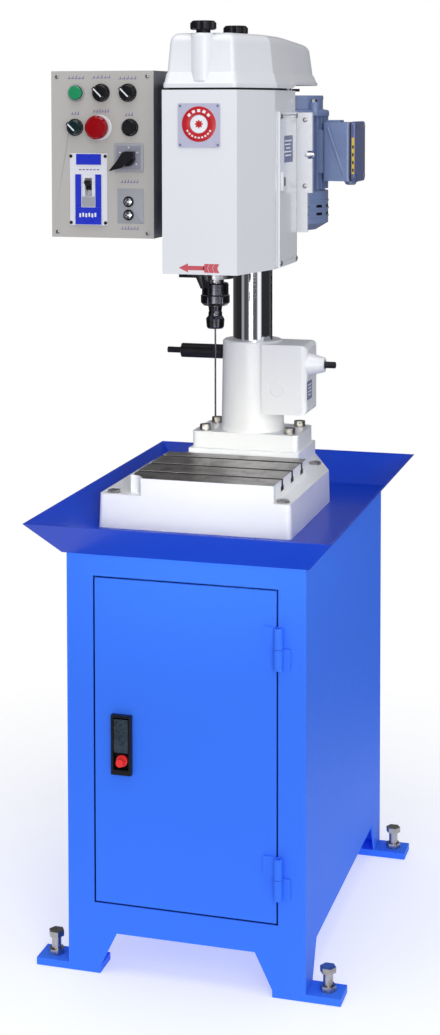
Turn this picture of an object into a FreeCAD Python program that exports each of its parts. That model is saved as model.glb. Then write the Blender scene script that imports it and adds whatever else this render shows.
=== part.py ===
import FreeCAD, Part
import math
import os
import Sketcher

# Column drill press on a cabinet with a chip pan.
#
# Millimetres, +Z up, +Y to the back.  The origin is on the floor, under the middle of the machine's
# outline.  Every sub-part is one document object, sized from the sheet "dims".

os.makedirs("parts", exist_ok=True)
doc = FreeCAD.newDocument("drill_press")
dims = doc.addObject("Spreadsheet::Sheet", "dims")


class Dim:
    """A size that knows both its value and the sheet expression it comes from."""

    def __init__(self, value, text):
        self.value = value
        self.text = text

    def join(self, other, sign, value, swap=False):
        pair = [self.text, text_of(other)]
        if swap:
            pair.reverse()
        return Dim(value, "(" + pair[0] + " " + sign + " " + pair[1] + ")")

    def __add__(self, other):
        return self.join(other, "+", self.value + value_of(other))

    def __radd__(self, other):
        return self.join(other, "+", self.value + value_of(other), swap=True)

    def __sub__(self, other):
        return self.join(other, "-", self.value - value_of(other))

    def __rsub__(self, other):
        return self.join(other, "-", value_of(other) - self.value, swap=True)

    def __mul__(self, other):
        return self.join(other, "*", self.value * value_of(other))

    def __rmul__(self, other):
        return self.join(other, "*", self.value * value_of(other), swap=True)

    def __truediv__(self, other):
        return self.join(other, "/", self.value / value_of(other))

    def __neg__(self):
        return Dim(-self.value, "(0 - " + self.text + ")")


def value_of(size):
    return size.value if isinstance(size, Dim) else size


def text_of(size):
    return size.text if isinstance(size, Dim) else str(size)


SIZES = {
    # where the cabinet and the drilling machine stand, sideways from the origin
    "cabinet_x": 29, "machine_x": 9,
    # cabinet
    "cabinet_w": 400, "cabinet_d": 620, "cabinet_top": 696, "sheet": 3,
    "leg_open_w": 233, "leg_open_top": 70, "side_open_d": 465,
    "shelf_z": 86,
    "foot_out": 57, "foot_l": 112, "foot_w": 50, "foot_t": 12, "foot_hole": 30,
    "level_r": 8, "level_head_z": 42, "level_head_af": 23, "level_head_t": 9,
    "level_nut_t": 9,
    # chip pan
    "pan_bottom_over": 6, "pan_rim_over_x": 54, "pan_rim_over_y": 57, "pan_rim_z": 751, "pan_wall": 3.5,
    # door and latch
    "door_w": 310, "door_h": 542, "door_low": 118, "door_gap": 3, "door_t": 20, "door_skin": 2,
    "hinge_out": 8, "hinge_r": 7, "hinge_h": 68, "hinge_pin_r": 4, "hinge_low": 163, "hinge_high": 533,
    "hinge_leaf_l": 26, "hinge_leaf_t": 3,
    "latch_x": -105, "latch_z": 387, "latch_w": 34, "latch_h": 98, "latch_t": 9,
    "paddle_w": 24, "paddle_h": 52, "paddle_t": 4, "latch_button_r": 9.5,
    # table casting
    "base_left": 184, "base_right": 156, "base_front": 149, "base_side_back": 150, "base_back": 300,
    "base_back_left": 122, "base_back_right": 96, "base_top": 757, "base_draft": 2,
    "base_round": 8, "base_cavity_in": 29, "base_cavity_h": 34,
    "table_left": 134, "table_right": 126, "table_back": 92, "table_top": 787,
    "pocket_r": 27,
    "slot_first": -88, "slot_step": 71, "slot_neck": 12, "slot_head": 21, "slot_head_t": 9,
    "slot_depth": 20, "seat_top": 790, "seat_half": 104, "seat_front": 122, "seat_back": 256,
    "base_bolt_r": 6, "base_bolt_af": 19, "base_bolt_seat_r": 12.5, "base_bolt_deep": 6,
    # column, its support casting and the lifting gear
    "column_y": 190, "column_r": 36.5, "column_low": 770, "column_high": 1178, "fit": 0.05,
    "flange_w": 200, "flange_d": 120, "flange_top": 820, "sleeve_low_r": 58, "sleeve_top_r": 55.5,
    "sleeve_top": 987, "foot_flare": 8,
    "gear_front": 137, "gear_back": 226, "gear_low": 856, "gear_high": 984, "gear_split": 99,
    "gear_right": 115, "gear_round": 11, "gear_wall": 10, "wheel_room_r": 34,
    "wheel_x": 60, "wheel_z": 903, "worm_y": 160, "worm_z": 948,
    "gear_module": 2, "wheel_teeth": 30, "pinion_teeth": 26, "wheel_face": 12, "pinion_face": 10,
    "wheel_shaft_r": 8,
    "worm_core_r": 12.4, "worm_tip_r": 16.8, "worm_half": 17.5, "worm_journal_r": 7, "worm_left": 35,
    "worm_room": 17.8, "boss_r": 22, "boss_draft": 15, "boss_end": 144, "stub_end": 164, "stub_r": 6,
    "rack_pitch_x": 34, "rack_back_x": 24, "rack_w": 12, "rack_low": 778, "rack_teeth": 55,
    "clamp_z": 961, "clamp_r": 13.3, "clamp_end": -137, "clamp_stub_r": 5.6, "clamp_stub_end": -165,
    "clamp_screw_r": 9,
    # head casting
    "head_front": 155, "head_front_half": 65, "head_half": 97, "head_flare_y": -26, "head_side_y": 122,
    "head_back": 135, "head_back_half": 70, "head_low": 1138, "head_top": 1446, "head_wall": 9,
    "socket_half": 60, "socket_back": 250, "socket_top": 1182,
    "cover_front_y": -6, "cover_back_y": 120, "cover_low": 1139, "cover_high": 1409, "cover_t": 4,
    "badge_side": 73, "badge_z": 1387, "badge_t": 2,
    "stop_left": 68, "stop_right": 30, "stop_w": 37, "stop_t": 6,
    # spindle
    "spindle_y": -60, "quill_r": 30, "quill_top": 1328, "quill_low": 1124, "quill_collar_r": 33.5,
    "bearing_r": 25, "bearing_h": 14, "spindle_r": 15, "spline_r": 9, "spline_top": 1505,
    "chuck_top": 1116, "chuck_r": 23, "chuck_nut_r": 25, "chuck_nut_top": 1096, "chuck_low": 1077,
    "reducer_r": 12, "reducer_nut_r": 16, "reducer_nut_top": 1059, "reducer_low": 1037,
    "drill_r": 1.5, "drill_tip": 884,
    # belt drive
    "sleeve_r": 14, "pulley_z": 1464, "pulley_h": 20, "spindle_pulley_r": 62, "motor_pulley_r": 22,
    "groove_depth": 8, "groove_top": 11, "groove_low": 9, "belt_w": 8, "belt_t": 6,
    "motor_x": 58, "motor_y": 221,
    "lid_front": 147, "lid_front_half": 58, "lid_half": 92, "lid_flare_y": -26, "lid_back": 286,
    "lid_lip": 7, "lid_low": 1449, "lid_lip_h": 9, "lid_side_top": 1519, "lid_top": 1541,
    "lid_slope_y": 95, "lid_back_top": 1516, "lid_wall": 5, "lid_boss_r": 22,
    "knob_front_y": -130, "knob_back_y": 72,
    "knob_r": 22, "knob_h": 20, "knob_screw_r": 4, "knob_post_r": 8,
    # motor
    "motor_r": 70, "fin_r": 76, "fin_count": 36, "fin_t": 3, "frame_low": 1263, "frame_high": 1410,
    "shield_r": 66, "shield_top": 1438, "cowl_low": 1191, "cowl_cut": 22, "rotor_r": 36,
    "shaft_r": 7, "plate_t": 8, "plate_left": -20, "plate_right": 125, "plate_low_right": 116,
    "plate_low": 1191, "plate_high": 1407,
    "box_near": 76, "box_far": 128, "box_half": 46, "box_low": 1282, "box_high": 1389,
    # control box
    "panel_left": -295, "panel_right": -107, "panel_low": 1190, "panel_high": 1480, "panel_y": -70,
    "panel_d": 100, "panel_t": 2, "box_wall": 2,
}
for row, (name, value) in enumerate(SIZES.items(), start=1):
    dims.set("A%d" % row, name)
    dims.set("B%d" % row, str(value))
    dims.setAlias("B%d" % row, name)
doc.recompute()
D = {name: Dim(value, "dims." + name) for name, value in SIZES.items()}


class Sizes:
    """Lets a size be written as S.name."""

    def __getattr__(self, name):
        return D[name]


S = Sizes()
SIGN = {"XY_Plane": 1, "YZ_Plane": 1, "XZ_Plane": -1}


# ---- drawing helpers ---------------------------------------------------------------------------

def bind(target, path, size):
    target.setExpression(path, text_of(size))


def place(part, x=0, y=0, z=0):
    """Puts a part at a sheet-driven position."""
    part.Placement = FreeCAD.Placement(FreeCAD.Vector(value_of(x), value_of(y), value_of(z)),
                                       FreeCAD.Rotation())
    for axis, size in zip("xyz", (x, y, z)):
        bind(part, "Placement.Base." + axis, size)


def new_body(name, x=0, y=0, z=0):
    part = doc.addObject("PartDesign::Body", name)
    part.Label = name
    place(part, x, y, z)
    return part


def new_sketch(part, role, start):
    """A sketch parallel to one of the part's origin planes, at the height start."""
    sketch = part.newObject("Sketcher::SketchObject", part.Name + "_sketch")
    plane = [item for item in part.Origin.OriginFeatures if item.Role == role][0]
    sketch.AttachmentSupport = [(plane, "")]
    sketch.MapMode = "FlatFace"
    bind(sketch, "AttachmentOffset.Base.z", start if SIGN[role] > 0 else -1 * start)
    return sketch


def pin(sketch, edge, point, x, y):
    """Fixes one point of an edge at sheet-driven coordinates."""
    for kind, size in (("DistanceX", x), ("DistanceY", y)):
        index = sketch.addConstraint(Sketcher.Constraint(kind, edge, point, value_of(size)))
        if isinstance(size, Dim):
            bind(sketch, "Constraints[%d]" % index, size)


def outline(sketch, points):
    """A closed outline of straight edges through the points."""
    first = sketch.GeometryCount
    corners = [FreeCAD.Vector(value_of(x), value_of(y), 0) for x, y in points]
    for index, corner in enumerate(corners):
        sketch.addGeometry(Part.LineSegment(corner, corners[(index + 1) % len(corners)]))
    for index, (x, y) in enumerate(points):
        before = first + (index - 1) % len(points)
        sketch.addConstraint(Sketcher.Constraint("Coincident", before, 2, first + index, 1))
        pin(sketch, first + index, 1, x, y)


def circle(sketch, x, y, radius):
    centre = FreeCAD.Vector(value_of(x), value_of(y), 0)
    edge = sketch.addGeometry(Part.Circle(centre, FreeCAD.Vector(0, 0, 1), value_of(radius)))
    pin(sketch, edge, 3, x, y)
    index = sketch.addConstraint(Sketcher.Constraint("Radius", edge, value_of(radius)))
    if isinstance(radius, Dim):
        bind(sketch, "Constraints[%d]" % index, radius)


def box_points(x_low, x_high, y_low, y_high):
    return [(x_low, y_low), (x_high, y_low), (x_high, y_high), (x_low, y_high)]


def extrude(kind, part, role, start, length, outlines=(), circles=(), taper=0):
    """Adds or cuts a prism that grows from start along the world axis of the plane's normal."""
    sketch = new_sketch(part, role, start)
    for points in outlines:
        outline(sketch, points)
    for x, y, radius in circles:
        circle(sketch, x, y, radius)
    feature = part.newObject("PartDesign::" + kind, part.Name + "_" + kind.lower())
    feature.Profile = sketch
    bind(feature, "Length", length)
    towards_normal = SIGN[role] > 0
    feature.Reversed = (not towards_normal) if kind == "Pad" else towards_normal
    if value_of(taper):
        bind(feature, "TaperAngle", taper)
    return feature


def add(part, role, start, length, outlines=(), circles=(), taper=0):
    return extrude("Pad", part, role, start, length, outlines, circles, taper)


def cut(part, role, start, length, outlines=(), circles=(), taper=0):
    return extrude("Pocket", part, role, start, length, outlines, circles, taper)


def turn(kind, part, profile, axis="V_Axis", role="XZ_Plane"):
    """Revolution or Groove of a closed profile about an axis of the part's own origin."""
    sketch = new_sketch(part, role, 0)
    outline(sketch, profile)
    feature = part.newObject("PartDesign::" + kind, part.Name + "_" + kind.lower())
    feature.Profile = sketch
    feature.ReferenceAxis = (sketch, [axis])
    feature.Angle = 360
    return feature


def turned(name, profile, x=0, y=0, z=0, axis="V_Axis", role="XZ_Plane"):
    part = new_body(name, x, y, z)
    turn("Revolution", part, profile, axis, role)
    return part


def hexagon(x, y, across_flats):
    """Corner points of a hexagon, flats square to the sketch's second axis."""
    reach = 1 / math.sqrt(3)
    corners = [(-reach / 2, -0.5), (reach / 2, -0.5), (reach, 0), (reach / 2, 0.5), (-reach / 2, 0.5),
               (-reach, 0)]
    return [(x + across_flats * round(u, 6), y + across_flats * v) for u, v in corners]


def round_edges(part, feature, radius, chosen):
    """Rounds the edges of the last feature that the test function picks."""
    doc.recompute()
    names = ["Edge%d" % (index + 1) for index, edge in enumerate(feature.Shape.Edges) if chosen(edge)]
    fillet = part.newObject("PartDesign::Fillet", part.Name + "_fillet")
    fillet.Base = (feature, names)
    bind(fillet, "Radius", radius)
    return fillet


def is_upright(edge):
    """True for a corner edge that runs up, drafted or not."""
    if len(edge.Vertexes) < 2:
        return False
    run = edge.Vertexes[1].Point - edge.Vertexes[0].Point
    return abs(run.z) > 0.9 * run.Length


def group(name, master, spots, x=0, y=0, z=0):
    """Several copies of one master body as a single sub-part."""
    doc.recompute()
    copies = []
    for index, (spot, angle) in enumerate(spots):
        link = doc.addObject("App::Link", "%s_%d" % (name, index + 1))
        link.LinkedObject = master
        link.Placement = FreeCAD.Placement(FreeCAD.Vector(*[value_of(size) for size in spot]),
                                           FreeCAD.Rotation(FreeCAD.Vector(0, 0, 1), angle))
        for axis, size in zip("xyz", spot):
            if isinstance(size, Dim):
                bind(link, "Placement.Base." + axis, size)
        copies.append(link)
    whole = doc.addObject("Part::Compound", name)
    whole.Label = name
    whole.Links = copies
    place(whole, x, y, z)
    return whole


PARTS = []


def keep(part):
    PARTS.append(part)
    return part


# ---- cabinet -----------------------------------------------------------------------------------

def cabinet_sides():
    side = new_body("side_panel")
    half = S.cabinet_d / 2
    leg = S.foot_w
    add(side, "YZ_Plane", -S.sheet / 2, S.sheet, [[
        (-half, S.foot_t), (-half, S.cabinet_top), (half, S.cabinet_top), (half, S.foot_t),
        (half - leg, S.foot_t), (S.side_open_d / 2, S.leg_open_top), (-S.side_open_d / 2, S.leg_open_top),
        (leg - half, S.foot_t)]])
    offset = (S.cabinet_w - S.sheet) / 2
    return group("cabinet_sides", side, [((-offset, 0, 0), 0), ((offset, 0, 0), 0)], S.cabinet_x)


def end_panel(name, y_low):
    """Front or back panel between the sides, with the trapezoid opening between the legs."""
    panel = new_body(name, S.cabinet_x)
    half = S.cabinet_w / 2 - S.sheet
    inner = S.foot_l - S.foot_out
    add(panel, "XZ_Plane", y_low, S.sheet, [[
        (-half, S.foot_t), (-half, S.cabinet_top), (half, S.cabinet_top), (half, S.foot_t),
        (S.cabinet_w / 2 - inner, S.foot_t), (S.leg_open_w / 2, S.leg_open_top),
        (-S.leg_open_w / 2, S.leg_open_top), (inner - S.cabinet_w / 2, S.foot_t)]])
    return panel


def cabinet_front():
    panel = end_panel("cabinet_front", -S.cabinet_d / 2)
    half = S.door_w / 2
    cut(panel, "XZ_Plane", -S.cabinet_d / 2, S.sheet,
        [box_points(-half, half, S.door_low, S.door_low + S.door_h)])
    return panel


def cabinet_floor():
    shelf = new_body("cabinet_floor", S.cabinet_x)
    half_w = S.cabinet_w / 2 - S.sheet
    half_d = S.cabinet_d / 2 - S.sheet
    add(shelf, "XY_Plane", S.shelf_z, S.sheet, [box_points(-half_w, half_w, -half_d, half_d)])
    return shelf


def foot_spots():
    """Centres of the four foot plates, with the turn that points each hole outwards."""
    x = S.cabinet_w / 2 + S.foot_out - S.foot_l / 2
    y = (S.cabinet_d - S.foot_w) / 2
    return [((side * x, end * y, 0), 0 if side > 0 else 180) for side in (-1, 1) for end in (-1, 1)]


def foot_plates():
    plate = new_body("foot_plate")
    add(plate, "XY_Plane", 0, S.foot_t,
        [box_points(-S.foot_l / 2, S.foot_l / 2, -S.foot_w / 2, S.foot_w / 2)],
        [(S.foot_hole, 0, S.level_r + S.fit)])
    return group("foot_plates", plate, foot_spots(), S.cabinet_x)


def levelling_feet():
    """Levelling screw and its lock nut, twice per side."""
    screw = new_body("levelling_screw")
    add(screw, "XY_Plane", 0.3, S.level_head_z, circles=[(0, 0, S.level_r)])
    add(screw, "XY_Plane", S.level_head_z, S.level_head_t, [hexagon(0, 0, S.level_head_af)])
    nut = new_body("lock_nut")
    add(nut, "XY_Plane", S.foot_t, S.level_nut_t, [hexagon(0, 0, S.level_head_af)],
        [(0, 0, S.level_r + S.fit)])
    pieces = []
    for (x, y, z), angle in foot_spots():
        hole_x = x + S.foot_hole * (1 if angle == 0 else -1)
        pieces.append(((hole_x, y, z), 0))
    doc.recompute()
    both = doc.addObject("Part::Compound", "levelling_pair")
    both.Links = [screw, nut]
    return group("levelling_feet", both, pieces, S.cabinet_x)


def chip_pan():
    pan = new_body("chip_pan", S.cabinet_x)
    half_w = S.cabinet_w / 2
    half_d = S.cabinet_d / 2

    def loft(kind, levels):
        sections = []
        for z, inset, over_x, over_y in levels:
            section = new_sketch(pan, "XY_Plane", z)
            x = half_w + over_x - inset
            y = half_d + over_y - inset
            outline(section, box_points(-x, x, -y, y))
            sections.append(section)
        feature = pan.newObject("PartDesign::" + kind, "chip_pan_loft")
        feature.Profile = sections[0]
        feature.Sections = sections[1:]
        feature.Ruled = True
        return feature

    low = S.pan_bottom_over
    loft("AdditiveLoft", [(S.cabinet_top, 0, low, low),
                          (S.pan_rim_z, 0, S.pan_rim_over_x, S.pan_rim_over_y)])
    loft("SubtractiveLoft", [(S.cabinet_top + S.sheet, S.pan_wall, low + S.sheet, low + S.sheet),
                             (S.pan_rim_z + 1, S.pan_wall, S.pan_rim_over_x + 1, S.pan_rim_over_y + 1)])
    shift = S.machine_x - S.cabinet_x
    cut(pan, "XY_Plane", S.cabinet_top - 1, S.sheet + 2,
        circles=[(x + shift, y, S.base_bolt_r + S.fit) for x, y in base_bolt_spots()])
    return pan


# ---- door --------------------------------------------------------------------------------------

def hinge_x():
    return S.door_w / 2 + 2


def door_panel():
    """Folded tray, open at the back, with a window for the latch."""
    door = new_body("door_panel", S.cabinet_x)
    half = S.door_w / 2 - S.door_gap
    low = S.door_low + S.door_gap
    high = S.door_low + S.door_h - S.door_gap
    front = -S.cabinet_d / 2
    add(door, "XZ_Plane", front, S.door_t, [box_points(-half, half, low, high)])
    skin = S.door_skin
    cut(door, "XZ_Plane", front + skin, S.door_t,
        [box_points(skin - half, half - skin, low + skin, high - skin)])
    inner_w = S.latch_w / 2 - 1.5
    inner_h = S.latch_h / 2 - 1.5
    cut(door, "XZ_Plane", front - 1, S.door_t,
        [box_points(S.latch_x - inner_w, S.latch_x + inner_w, S.latch_z - inner_h, S.latch_z + inner_h)])
    return door


def hinge_knuckles(name, low, side, with_pin):
    """Two flag hinge halves: a round knuckle with a flat leaf to the given side."""
    knuckle = new_body(name + "_one")
    half_h = S.hinge_h / 2
    bore = [] if with_pin else [(0, 0, S.hinge_pin_r + S.fit)]
    leaf_y = S.hinge_out - S.hinge_leaf_t
    reach = S.hinge_leaf_l
    leaf = box_points(-reach, -5.0, leaf_y, S.hinge_out) if side < 0 else \
        box_points(4.0, reach * 0.7, leaf_y, S.hinge_out)
    add(knuckle, "XY_Plane", low + 0.4, half_h - 0.8, circles=[(0, 0, S.hinge_r)] + bore)
    add(knuckle, "XY_Plane", low + 0.4, half_h - 0.8, [leaf])
    if with_pin:
        add(knuckle, "XY_Plane", low + 1, S.hinge_h - 6, circles=[(0, 0, S.hinge_pin_r)])
    spots = [((0, 0, S.hinge_low), 0), ((0, 0, S.hinge_high), 0)]
    return group(name, knuckle, spots, S.cabinet_x + hinge_x(), -S.cabinet_d / 2 - S.hinge_out)


def latch_housing():
    tray = new_body("latch_housing", S.cabinet_x + S.latch_x, -S.cabinet_d / 2, S.latch_z)
    half_w = S.latch_w / 2
    half_h = S.latch_h / 2
    add(tray, "XZ_Plane", -S.latch_t, S.latch_t, [box_points(-half_w, half_w, -half_h, half_h)])
    add(tray, "XZ_Plane", -1, 15, [box_points(2 - half_w, half_w - 2, 2 - half_h, half_h - 2)])
    cut(tray, "XZ_Plane", -S.latch_t - 1, 14,
        [box_points(4 - half_w, half_w - 4, -half_h + 8, half_h - 4)])
    cut(tray, "XZ_Plane", 0, 20, circles=[(0, -half_h + 22, S.latch_button_r + 0.4)])
    return tray


def latch_paddle():
    """Flat lifting handle, hung from a bar at the top of the latch."""
    paddle = new_body("latch_paddle", S.cabinet_x + S.latch_x, -S.cabinet_d / 2 - S.latch_t + 3,
                      S.latch_z + S.latch_h / 2 - 9)
    half = S.paddle_w / 2
    turn("Revolution", paddle, [(-half, 0), (half, 0), (half, 3), (-half, 3)], "H_Axis")
    add(paddle, "XZ_Plane", -3, S.paddle_t, [box_points(-half, half, -S.paddle_h, 0)])
    return paddle


def latch_button():
    return turned("latch_button", [(0, -12), (6.5, -12), (6.5, -1), (S.latch_button_r, -1),
                                   (S.latch_button_r, 5), (S.latch_button_r - 2, 7), (0, 7)],
                  S.cabinet_x + S.latch_x, -S.cabinet_d / 2 - 4, S.latch_z - S.latch_h / 2 + 22,
                  "V_Axis", "XY_Plane")


# ---- table casting -----------------------------------------------------------------------------

def base_bolt_spots():
    return [(-S.base_left + 22, -S.base_front + 22), (S.base_right - 19, -S.base_front + 22),
            (-1 * S.seat_half - 20, S.column_y + 20), (S.seat_half + 13, S.column_y + 10)]


def table_base():
    base = new_body("table_base", S.machine_x)
    floor_z = S.cabinet_top + S.sheet
    body_pad = add(base, "XY_Plane", floor_z, S.base_top - floor_z, [[
        (-S.base_left, -S.base_front), (S.base_right, -S.base_front), (S.base_right, S.base_side_back),
        (S.base_back_right, S.base_back), (-S.base_back_left, S.base_back),
        (-S.base_left, S.base_side_back)]], taper=-1 * S.base_draft)
    round_edges(base, body_pad, S.base_round, is_upright)
    front = 1 - S.base_front
    add(base, "XY_Plane", S.base_top - 4, S.table_top - S.base_top + 4,
        [box_points(-S.table_left, S.table_right, front, S.table_back)])
    add(base, "XY_Plane", S.base_top - 4, S.seat_top - S.base_top + 4,
        [box_points(-S.seat_half, S.seat_half, S.seat_front, S.seat_back)])
    add(base, "XY_Plane", S.base_top - 4, S.table_top - S.base_top - 2,
        [box_points(-S.seat_half, S.seat_half, S.table_back - 2, S.seat_front + 2)])
    slot_points = []
    for step in range(3):
        centre = S.slot_first + S.slot_step * step
        neck = S.slot_neck / 2
        head = S.slot_head / 2
        low = S.table_top - S.slot_depth
        shelf = low + S.slot_head_t
        slot_points.append([(centre - head, low), (centre + head, low), (centre + head, shelf),
                            (centre + neck, shelf), (centre + neck, S.table_top + 1),
                            (centre - neck, S.table_top + 1), (centre - neck, shelf),
                            (centre - head, shelf)])
    cut(base, "YZ_Plane", -S.table_left - 1, S.table_left + S.table_right + 2, slot_points)
    inset = S.base_cavity_in
    cut(base, "XY_Plane", floor_z - 1, S.base_cavity_h, [
        box_points(inset - S.base_left, S.base_right - inset, inset - S.base_front, S.table_back - 16)])
    cut(base, "XY_Plane", floor_z - 1, 200,
        circles=[(0, S.column_y, S.column_r + 1.5)]
        + [(x, y, S.base_bolt_r + S.fit) for x, y in base_bolt_spots()])
    cut(base, "XY_Plane", S.base_top, 60, circles=[(-S.table_left, front, S.pocket_r)])
    cut(base, "XY_Plane", S.base_top - S.base_bolt_deep, 60,
        circles=[(x, y, S.base_bolt_seat_r) for x, y in base_bolt_spots()])
    return base


def hex_bolt(name, radius, across_flats, head_h, length):
    """Hexagon bolt with a washer, seat at z = 0."""
    bolt = new_body(name)
    add(bolt, "XY_Plane", 0, 2, circles=[(0, 0, across_flats * 0.62)])
    add(bolt, "XY_Plane", 1.5, head_h, [hexagon(0, 0, across_flats)])
    add(bolt, "XY_Plane", -1 * length, length + 1, circles=[(0, 0, radius)])
    return bolt


def base_bolts():
    bolt = hex_bolt("base_bolt", S.base_bolt_r, S.base_bolt_af, 8, 60)
    spots = [((x, y, S.base_top - S.base_bolt_deep), 0) for x, y in base_bolt_spots()]
    return group("base_bolts", bolt, spots, S.machine_x)


# ---- column support, lifting gear --------------------------------------------------------------

def flange_bolt_spots():
    return [(side * 80, S.column_y + end * 40) for side in (-1, 1) for end in (-1, 1)]


def column_support():
    """Flange, sleeve and open gear housing in one casting, about the column's axis."""
    support = new_body("column_support", S.machine_x, S.column_y)
    half_w = S.flange_w / 2
    half_d = S.flange_d / 2
    flange = add(support, "XY_Plane", S.seat_top, S.flange_top - S.seat_top,
                 [box_points(-half_w, half_w, -half_d, half_d)])
    round_edges(support, flange, 9, is_upright)
    flare = S.foot_flare
    turn("Revolution", support, [
        (0, S.seat_top + 1), (S.sleeve_low_r, S.seat_top + 1), (S.sleeve_low_r, S.flange_top - 1),
        (S.sleeve_low_r + flare * 0.25, S.flange_top), (S.sleeve_low_r + flare * 0.1, S.flange_top + 4),
        (S.sleeve_low_r, S.flange_top + flare), (S.sleeve_top_r, S.sleeve_top - 3),
        (S.sleeve_top_r - 3, S.sleeve_top), (0, S.sleeve_top)])
    y_low = S.gear_front - S.column_y
    depth = S.gear_back - S.gear_front
    add(support, "XZ_Plane", y_low, depth,
        [box_points(30, S.gear_split, S.gear_low, S.gear_high)])
    cut(support, "XY_Plane", S.seat_top - 1, 400, circles=[(0, 0, S.column_r + S.fit)])
    room_low = y_low + S.gear_wall
    room = depth - S.gear_wall * 2
    wheel_room = S.wheel_room_r
    cut(support, "XZ_Plane", room_low, room, circles=[(S.wheel_x, S.wheel_z, wheel_room)])
    cut(support, "XZ_Plane", room_low, room,
        [box_points(S.wheel_x, S.gear_split + 1, S.wheel_z - wheel_room, S.wheel_z + wheel_room)])
    worm_y = S.worm_y - S.column_y
    cut(support, "YZ_Plane", S.worm_left + 6, 80,
        [box_points(worm_y - S.worm_room, worm_y + S.worm_room, S.wheel_z, S.worm_z + S.worm_room)])
    cut(support, "YZ_Plane", S.worm_left - 2, 20,
        circles=[(worm_y, S.worm_z, S.worm_journal_r + S.fit)])
    cut(support, "XZ_Plane", y_low - 1, depth - 5,
        circles=[(S.wheel_x, S.wheel_z, S.wheel_shaft_r + S.fit)])
    cut(support, "XZ_Plane", y_low - 1, 5, circles=[(S.wheel_x, S.wheel_z, 10.5)])
    cut(support, "YZ_Plane", -90, 60, circles=[(0, S.clamp_z, S.clamp_screw_r + S.fit)])
    cut(support, "XY_Plane", S.seat_top - 1, 60,
        circles=[(x, y - S.column_y, 6.05) for x, y in flange_bolt_spots()])
    return support


def flange_bolts():
    bolt = hex_bolt("flange_bolt", 6, 18, 9, 28)
    spots = [((x, y, S.flange_top), 15) for x, y in flange_bolt_spots()]
    return group("flange_bolts", bolt, spots, S.machine_x)


def gearbox_cover():
    """Right-hand cover with a conical boss for the crank shaft."""
    cover = new_body("gearbox_cover", S.machine_x)
    plate = add(cover, "YZ_Plane", S.gear_split, S.gear_right - S.gear_split,
                [box_points(S.gear_front, S.gear_back, S.gear_low, S.gear_high)])
    round_edges(cover, plate, S.gear_round,
                lambda edge: edge.CenterOfMass.x > value_of(S.gear_right) - 0.1)
    boss_length = S.boss_end - S.gear_right + 4
    boss = add(cover, "YZ_Plane", S.gear_right - 4, boss_length,
               circles=[(S.worm_y, S.worm_z, S.boss_r)], taper=-1 * S.boss_draft)
    boss.Refine = True
    cut(cover, "YZ_Plane", S.gear_split - 1, 80,
        circles=[(S.worm_y, S.worm_z, S.worm_journal_r + S.fit)])
    return cover


def worm_shaft():
    """Crank shaft with a single-start worm; local X is the shaft's axis."""
    shaft = new_body("worm_shaft", S.machine_x + S.wheel_x, S.worm_y, S.worm_z)
    journal = S.worm_journal_r
    half = S.worm_half
    left = S.worm_left - S.wheel_x
    turn("Revolution", shaft, [
        (left, 0), (left, journal), (-half, journal), (-half, S.worm_core_r), (half, S.worm_core_r),
        (half, journal), (S.boss_end - S.wheel_x + 1, journal),
        (S.boss_end - S.wheel_x + 1, S.stub_r), (S.stub_end - S.wheel_x - 1, S.stub_r),
        (S.stub_end - S.wheel_x, S.stub_r - 1), (S.stub_end - S.wheel_x, 0)], "H_Axis")
    pitch = value_of(S.gear_module) * math.pi
    section = new_sketch(shaft, "XZ_Plane", 0)
    base_half = 1.7
    crest_half = 0.55
    start = -2.5 * pitch
    outline(section, [(start - base_half, S.worm_core_r - 0.6), (start + base_half, S.worm_core_r - 0.6),
                      (start + crest_half, S.worm_tip_r), (start - crest_half, S.worm_tip_r)])
    thread = shaft.newObject("PartDesign::AdditiveHelix", "worm_thread")
    thread.Profile = section
    thread.ReferenceAxis = (section, ["H_Axis"])
    thread.Mode = "pitch-height-angle"
    thread.Pitch = pitch
    bind(thread, "Height", S.worm_half * 2 - 6)
    thread.LeftHanded = False
    return shaft


def tooth_ring(teeth, module, backlash, phase, y):
    """Closed face, at height y, of a spur gear whose teeth mesh with a 20 degree rack."""
    pitch_r = teeth * module / 2
    base_r = pitch_r * math.cos(math.radians(20))
    tip_r = pitch_r + module
    root_r = pitch_r - 1.25 * module
    roll_pitch = math.tan(math.radians(20)) - math.radians(20)
    half_at_base = (math.pi * module / 2 - backlash) / (2 * pitch_r) + roll_pitch
    steps = 6

    def involute(radius):
        angle = math.acos(min(1.0, base_r / radius))
        return math.tan(angle) - angle

    start_r = max(base_r, root_r) + 0.001
    edges = []
    radii = [start_r + (tip_r - start_r) * step / steps for step in range(steps + 1)]
    corners = []
    for tooth in range(teeth):
        centre = phase + 2 * math.pi * tooth / teeth
        left = [(radius, centre - half_at_base + involute(radius)) for radius in radii]
        right = [(radius, centre + half_at_base - involute(radius)) for radius in reversed(radii)]
        corners.append((root_r, left[0][1]))
        corners.extend(left)
        corners.extend(right)
        corners.append((root_r, right[-1][1]))
    points = [FreeCAD.Vector(radius * math.cos(angle), y, radius * math.sin(angle))
              for radius, angle in corners]
    for before, after in zip(points, points[1:] + points[:1]):
        if before.distanceToPoint(after) > 1e-6:
            edges.append(Part.LineSegment(before, after).toShape())
    return Part.Face(Part.Wire(edges))


def gear_solid(teeth, face, phase, backlash):
    width = value_of(face)
    ring = tooth_ring(teeth, value_of(S.gear_module), backlash, phase, -width / 2)
    return ring.extrude(FreeCAD.Vector(0, width, 0))


def shape_part(name, shape, x=0, y=0, z=0):
    """A sub-part whose form is worked out in code from the sheet's sizes."""
    part = doc.addObject("Part::Feature", name)
    part.Label = name
    part.Shape = shape
    place(part, x, y, z)
    return part


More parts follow.
